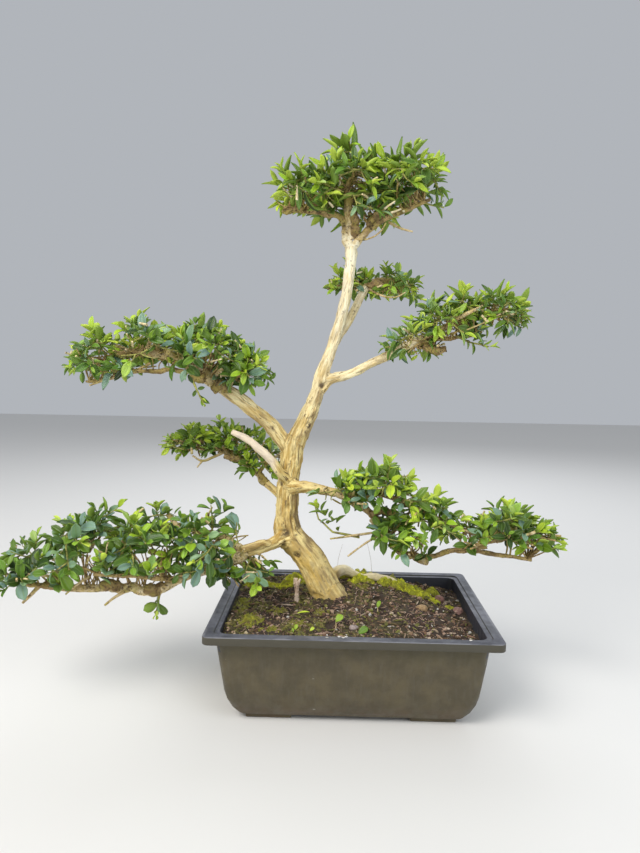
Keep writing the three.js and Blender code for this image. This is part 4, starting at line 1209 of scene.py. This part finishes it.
# Adds the matrix and the look of each leaf: its age, its tone, darker low in the lobe and back from the
# shoot's tip as painted shade, and whether it has a painted sheen
def leafAlong(rng, pad, line, centre, box, clear, leaves):
    rules = pairRules
    total = sum((b - a).length for a, b in zip(line, line[1:]))
    side = (line[-1] - line[0]).cross(scatter(rng, 1, 1, 1)).normalized()
    ahead = ((line[-1] - line[2]).normalized() + Vector((0, 0, 0.4))).normalized()
    young = rng.random() < pad["fresh"] * (0.5 + ramp(-12, 24, line[-1].z - centre.z))
    back, pair = 0.0, 0
    while back < min(total * rules["along"], rules["longest"]):
        t = 1 - back / total
        at = bezier(line[0], (line[2] + line[3]) / 2, line[-1], t)
        across = side if pair % 2 else ahead.cross(side).normalized()
        grown = lerp(rules["tipSize"], 1, min(1, (pair + 0.4) / rules["fullFrom"]))
        size = rng.uniform(*pad["size"]) * grown
        for sign in (-1, 1):
            if rng.random() < rules["missing"] + rules["missingMore"] * pair:
                continue
            spread = rules["youngSpread" if young else "oldSpread"] + rules["spreadMore"] * pair
            spread = math.radians(rng.gauss(spread, rules["spreadScatter"]))
            direction = ahead * math.cos(spread) + across * sign * math.sin(spread)
            outward = at - centre
            outward.z *= 1.3
            face = outward.normalized() * 0.55 + Vector((0, -0.12, pad["upward"])) + ahead * 0.25
            face += scatter(rng, *rules["faceScatter"])
            start = at + direction * rules["stalk"]
            end = start + direction.normalized() * size
            tip = place(*end)
            half = place(*start.lerp(end, 0.5))
            if not inside(tip, *box) or any(inside(half, *room) or inside(tip, *room) for room in clear):
                continue
            wide = size * mm * rng.uniform(*rules["widths"])
            matrix = Matrix.Translation(place(*start)) @ turnTo(direction, face)
            matrix = matrix @ Matrix.Diagonal((wide, size * mm, size * mm, 1))
            if young:
                age = rng.uniform(*rules["youngAge"]) if pair < 2 else 0.2
            else:
                age = rng.uniform(*rules["oldAge"]) / (1 + pair)
            # Painted shade: leaves low in the lobe, and pairs further back from the shoot's tip, get a darker
            # tone
            deep = ramp(12, -12, at.z - centre.z) * 0.3
            tone = rng.random() * 0.7 ** pair * (1 - deep)
            leaves.append((matrix, (age, tone, float(rng.random() < pad["paintedSheen"]))))
        pair += 1
        back += rng.uniform(*rules["between"])


# Old wood swells and kinks between the points given
def knobbly(rng, line):
    shape = twigShape
    knobs = [line[0]]
    for first, second in zip(line, line[1:]):
        for t in (0.33, 0.67) if math.dist(first[:3], second[:3]) > shape["knobSpan"] else (0.5,):
            radius = lerp(first[3], second[3], t)
            spot = [lerp(a, b, t) + rng.gauss(0, shape["knobShift"]) * radius
                    for a, b in zip(first[:3], second[:3])]
            knobs.append((*spot, radius * rng.uniform(*shape["knobSizes"])))
        knobs.append(second)
    return knobs


def roughen(obj, relief):
    pushOut(obj, [noise.noise(Vector(point) * twigShape["lumpScale"]) for point in getPoints(obj)], relief)


# Thick wood is pale like the trunk and thin wood brown
def ageWood(obj, wood):
    lookup = kdtree.KDTree(len(wood.spots))
    for number, (spot, _) in enumerate(wood.spots):
        lookup.insert(place(*spot), number)
    lookup.balance()
    looks = []
    for point in getPoints(obj):
        radius = wood.spots[lookup.find(point)[1]][1]
        looks += (0.3 + 0.7 * ramp(*twigShape["paleFrom"], radius), 0.5, 0)
    giveLook(obj, (0, 0, 0))
    obj.data.attributes["look"].data.foreach_set("vector", looks)


def tangle(rng, pad, wood):
    twigs = []
    for x, y, z, halfX, halfY, _, fall, count in pad["lobes"]:
        for _ in range(count):
            end = Vector((x + rng.gauss(0, 0.4) * halfX, y + rng.gauss(0, 0.4) * halfY,
                          z + rng.uniform(-0.4, 0.6) * fall))
            foot = wood.nearest(end + scatter(rng, 12, 12, 0), Vector((x, y, z - fall)))
            if (end - foot).length > twigShape["tangleSpan"]:
                continue
            middle = foot.lerp(end, 0.5) + scatter(rng, 4, 4, 3)
            thick = rng.uniform(*twigShape["tangleThick"])
            twigs.append([(*spot, thick) for spot in bezierLine(foot, middle, end, 2)])
    return twigs


# Cut ends that stand out of the leaves
def cutStubs(rng, pad, wood):
    stubs = []
    for x, y, z, halfX, halfY, rise, fall, _ in pad["lobes"]:
        for _ in range(twigShape["stubs"]):
            turn, height = rng.uniform(0, 6.3), rng.uniform(-0.1, 0.9)
            ring = math.sqrt(1 - height * height)
            end = Vector((x + math.cos(turn) * ring * halfX, y + math.sin(turn) * ring * halfY,
                          z + height * rise))
            foot = wood.nearest(end, Vector((x, y, z - fall)))
            lean = (foot - end).normalized() + scatter(rng, 0.6, 0.6, 0.3)
            foot = end + lean.normalized() * rng.uniform(*twigShape["stubLength"])
            thick = rng.uniform(*twigShape["stubThick"])
            stubs.append([(*foot, thick * 1.2), (*foot.lerp(end, 0.5), thick), (*end, thick * 0.85)])
    return stubs


def makePad(node, pad):
    rng = random.Random(pad["seed"])
    low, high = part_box(node)
    spare = (high - low) * 0.02
    box = (low - spare, high + spare)
    clear = [(place(*first), place(*last)) for first, last in pad.get("clear", [])]
    sprigs = pad.get("sprigs", [])
    shoots = growShoots(rng, pad)
    leaves = []
    for line, _, centre in shoots:
        leafAlong(rng, pad, line, centre, box, clear, leaves)
    for sprig in sprigs:
        line = [Vector(spot[:3]) for spot in sprig]
        line = bezierLine(line[0], (line[1] + line[-2]) / 2, line[-1], 5)
        fresh = dict(pad, fresh=2, size=(pad["size"][0] * 0.65, pad["size"][1] * 0.8))
        leafAlong(rng, fresh, line, line[0], box, [], leaves)
    masters = leafMasters[pad["leaf"]]
    blades = [copyOf(rng.choice(masters), matrix, look) for matrix, look in leaves]
    green = [[(*spot, radius) for spot, radius in zip(line, radii)] for line, radii, _ in shoots]
    twigs = tubes(node + "Twigs", green + [knobbly(rng, sprig) for sprig in sprigs], 1, 1)
    twigs.data.materials.append(twigGreen)
    giveLook(twigs, (0.3, 0.5, 0))
    wood = Wood(pad["limbs"])
    limbs = tubes(node + "Limbs", [knobbly(rng, limb) for limb in pad["limbs"]], 4, 5)
    ageWood(limbs, wood)
    roughen(limbs, twigShape["limbRelief"])
    knots = tubes(node + "Knots", [knobbly(rng, knot) for knot in pad["knots"]], 3, 6)
    roughen(knots, twigShape["knotRelief"])
    giveLook(knots, (0.1, 0.5, 0))
    woods = [limbs, knots]
    for part, lines, sides, steps, pale in (
            ("Bare", pad["bare"], 2, 4, 0.7), ("Tangle", tangle(rng, pad, wood), 1, 3, 0.2),
            ("Stubs", cutStubs(rng, pad, wood), 1, 2, 0.9)):
        twig = tubes(node + part, lines, sides, steps)
        roughen(twig, twigShape["twigRelief"])
        giveLook(twig, (pale, 0.5, 0))
        woods.append(twig)
    for obj in woods:
        obj.data.materials.append(twigBark)
    whole = joinAll([twigs] + woods + blades, node.replace("spray_", "pad_"))
    print(whole.name, "has", len(leaves), "leaves")
    finishPiece(whole, node)


# Old leaves are dark, some with a painted bluish sky sheen, and young ones yellow-green
def makeLeafTop():
    material, paint = newMaterial("leafTop", Roughness=0.36, Coat_Weight=0.15, Coat_Roughness=0.25,
                                  Specular_IOR_Level=0.4)
    tint = leafBlade["colours"]
    age, tone, paintedSheen = paint.axes(paint.attribute("look"))
    across, along, _ = paint.axes(paint.attribute("blade"))
    old = paint.mix(tone, tint["oldDark"], tint["oldLight"])
    # Painted reflection: a bluish sky sheen on some old leaves
    old = paint.mix(paint.times(paintedSheen, 0.75), old, tint["paintedSheen"])
    colour = paint.mix(age, old, paint.mix(tone, tint["youngDark"], tint["youngLight"]))
    middle = paint.maths("ABSOLUTE", paint.maths("SUBTRACT", across, 0.5))
    colour = paint.mix(paint.span(middle, 0.06, 0.02, 0, 0.5), colour, tint["midrib"])
    colour = paint.mix(paint.span(middle, 0.36, 0.5, 0, 0.25), colour, tint["edge"])
    blotch = paint.times(paint.mottle(paint.where(), 190, 0.5, 0.7), paint.times(tone, 0.4))
    paint.feed(paint.mix(blotch, colour, tint["blotch"]), "Base Color")
    # Side veins run out and forward from the midrib
    slant = paint.maths("SUBTRACT", along, paint.times(middle, 0.6))
    paint.bump(paint.maths("SINE", paint.times(slant, 55)), 0.12 * mm, 0.6)
    return material


def makeLeafUnder():
    material, paint = newMaterial("leafUnder", Roughness=0.6)
    age = paint.axes(paint.attribute("look"))[0]
    tint = leafBlade["colours"]
    paint.feed(paint.mix(age, tint["underOld"], tint["underYoung"]), "Base Color")
    return material


# The look of a twig is how pale it is
def makeTwigMaterial(name):
    material, paint = newMaterial(name, Roughness=0.8)
    tint = twigShape["colours"][name]
    where = paint.where()
    height = paint.axes(where)[2]
    paleness = paint.axes(paint.attribute("look"))[0]
    colour = paint.mix(paint.mottle(where, 140, 0.38, 0.62), tint["mid"], tint["pale"])
    cream = paint.mix(paint.mottle(where, 210), *twigShape["cream"])
    colour = paint.mix(paint.span(paleness, 0.4, 0.95, 0, 0.9), colour, cream)
    colour = paint.mix(paint.span(paleness, 0.15, 0.1, 0, 0.3), colour, tint["dark"])
    # Mossy patches, then dark ones
    colour = paint.mix(paint.times(paint.mottle(where, 75, 0.46, 0.6), 0.6), colour, tint["mossy"])
    colour = paint.mix(paint.times(paint.mottle(where, 95, 0.54, 0.64), 0.6), colour, tint["dark"])
    # High up, thick wood is as pale as the leader it joins
    high = paint.times(paint.span(height, 300 * mm, 470 * mm), paint.span(paleness, 0.7, 1, 0, 0.85))
    colour = paint.mix(high, colour, paint.mix(paint.mottle(where, 150, 0.35, 0.6), *twigShape["high"]))
    spots = paint.times(paint.mottle(where, 380, 0.55, 0.65), paint.span(high, 0, 1, 1, 0.4))
    paint.feed(paint.mix(spots, colour, tint["dark"]), "Base Color")
    paint.bump(paint.clouds(where, 600, 4), 0.6 * mm)
    return material


leafTop, leafUnder = makeLeafTop(), makeLeafUnder()
twigGreen, twigBark = makeTwigMaterial("twigGreen"), makeTwigMaterial("twigBark")
leafMasters = {
    kind: [makeLeaf(kind + str(number), **shape, wave=wave) for number, wave in enumerate(leafBlade["waves"])]
    for kind, shape in leafShapes.items()
}
for node, pad in pads.items():
    makePad(node, pad)


# Small growth on the soil: foot, leaf direction, the way its face looks, stem height, leaf length,
# width for its length, kind of leaf, age and tone
seedlings = {
    ("seedlingFront", "seedling_front"): [
        ((-18, -62), (0.66, 0.5, 0.55), (-0.1, -0.7, 0.7), 8, 11, 1.2, "round", 0.6, 0.3),
    ],
    ("seedlingRight", "seedling_right"): [
        ((30, -11), (0.3, 0.5, 0.8), (-0.3, -0.8, 0.4), 4, 9, 1.1, "oval", 0.6, 0.2),
    ],
    ("looseLeaves", None): [
        ((6, -72), (0.8, 0.35, 0.42), (-0.1, -0.8, 0.6), 0.8, 13, 1, "round", 0.1, 0.5),
        ((-60, -32), (0.95, 0.25, 0.12), (0, -0.6, 0.8), 0.8, 15, 0.36, "long", 1, 1),
        ((-60, -68), (0.3, 0.4, 0.7), (0, -0.8, 0.5), 1, 6.5, 1, "round", 0.8, 0.4),
        ((-44, -76), (0.5, 0.3, 0.3), (0, -0.6, 0.8), 1, 6, 1, "round", 0.9, 0.8),
        ((-61, -74), (-0.2, 0.4, 0.5), (0, -0.8, 0.5), 0.8, 5, 1, "oval", 0.7, 0.2),
    ],
}


def makeSeedlings(name, node, plants):
    pieces, stems = [], []
    for (x, y), direction, face, stem, size, wide, kind, age, tone in plants:
        base = soilHeight(x, y)
        start = Vector((x + stem * 0.1, y, base + stem))
        stems.append([(x, y, base - 2, 0.65), (x + stem * 0.16, y, base + stem * 0.5, 0.55), (*start, 0.4)])
        matrix = Matrix.Translation(place(*start)) @ turnTo(Vector(direction), Vector(face))
        matrix = matrix @ Matrix.Diagonal((size * wide * mm, size * mm, size * mm, 1))
        pieces.append(copyOf(leafMasters[kind][0], matrix, (age, tone, 0)))
    stalks = tubes("stalks", stems, 1, 3)
    stalks.data.materials.append(twigBark)
    giveLook(stalks, (0.8, 0.5, 0))
    finishPiece(joinAll(pieces + [stalks], name), node)


for (name, node), plants in seedlings.items():
    makeSeedlings(name, node, plants)
for masters in leafMasters.values():
    for master in masters:
        bpy.data.objects.remove(master)


# Dead shoot by the trunk's foot, weathered pinkish and cut off
deadShoot = dict(
    stem=[
        (-61, 6, 76, 2.7), (-61.6, 5.5, 90, 2.5), (-62.6, 5, 100, 2.9), (-62.2, 5.5, 108, 2.5),
        (-63.4, 7, 116, 3), (-63.8, 8, 123, 2.5),
    ],
    fork=[(-62.6, 5.5, 112, 1.8), (-60, 5, 119, 1.7), (-58.5, 5, 123, 1.3)],
    voxel=0.45, smooth=3, relief=0.9, dark=(0.46, 0.32, 0.22), pale=(0.74, 0.60, 0.47),
    spot=(0.16, 0.10, 0.06), cut=(0.66, 0.52, 0.38),
)


def makeDeadShoot():
    shoot = tubes("deadShoot", [deadShoot["stem"], deadShoot["fork"]], 4, 8)
    mergeLimbs(shoot, deadShoot["voxel"], deadShoot["smooth"])
    points = getPoints(shoot)
    coarse = np.array([noise.noise(Vector((x, y, z * 0.35)) * 520) for x, y, z in points])
    fine = np.array([noise.noise(Vector((x, y, z * 0.3)) * 1500) for x, y, z in points])
    pushOut(shoot, coarse * 0.6 + fine * 0.3, deadShoot["relief"])
    shadeSmooth(shoot, 180)
    return shoot


def makeDeadWood():
    material, paint = newMaterial("deadWood", Roughness=0.85)
    where = paint.where()
    grain = paint.stretched(where, 1, 1, 0.15)
    colour = paint.mix(paint.mottle(grain, 420, 0.35, 0.65), deadShoot["dark"], deadShoot["pale"])
    colour = paint.mix(paint.mottle(where, 260, 0.56, 0.66), colour, deadShoot["spot"])
    cut = paint.span(paint.axes(where)[2], 119 * mm, 122 * mm, 0, 0.6)
    paint.feed(paint.mix(cut, colour, deadShoot["cut"]), "Base Color")
    paint.bump(paint.clouds(grain, 900, 4), 0.6 * mm)
    return material


finishPiece(makeDeadShoot(), "dead_shoot", makeDeadWood())


# Light and floor, in metres: a lamp is its name, place, size, power and colour
studio = dict(
    floor=(0.72, 0.71, 0.69, 1), floorSize=8, aim=(0, 0, 0.28), sky=(0.80, 0.84, 0.90, 1), skyPower=0.55,
    lamps=[
        ("keyLight", (-0.9, -1.1, 1.5), 1.0, 34, (1, 0.97, 0.92)),
        ("fillLight", (1.3, -1.0, 0.9), 1.2, 12, (0.9, 0.95, 1)),
        ("backLight", (0.3, 1.4, 1.5), 1.2, 14, (0.93, 0.96, 1)),
    ],
)


def makeStudio():
    floor = rename(primitive("plane", size=studio["floorSize"], location=(0, 0, 0)), "floor")
    floor.data.materials.append(newMaterial("paleFloor", Base_Color=studio["floor"], Roughness=0.85)[0])
    for name, at, size, power, colour in studio["lamps"]:
        bpy.ops.object.light_add(type="AREA", location=at)
        lamp = bpy.context.object
        lamp.name = name
        lamp.data.size = size
        lamp.data.energy = power
        lamp.data.color = colour
        lamp.rotation_euler = (Vector(studio["aim"]) - Vector(at)).to_track_quat("-Z", "Y").to_euler()
    world = bpy.data.worlds.new("studio")
    world.use_nodes = True
    sky = world.node_tree.nodes["Background"].inputs
    sky[0].default_value, sky[1].default_value = studio["sky"], studio["skyPower"]
    bpy.context.scene.world = world
    bpy.context.scene.view_settings.view_transform = "Standard"


makeStudio()
print("studio made")
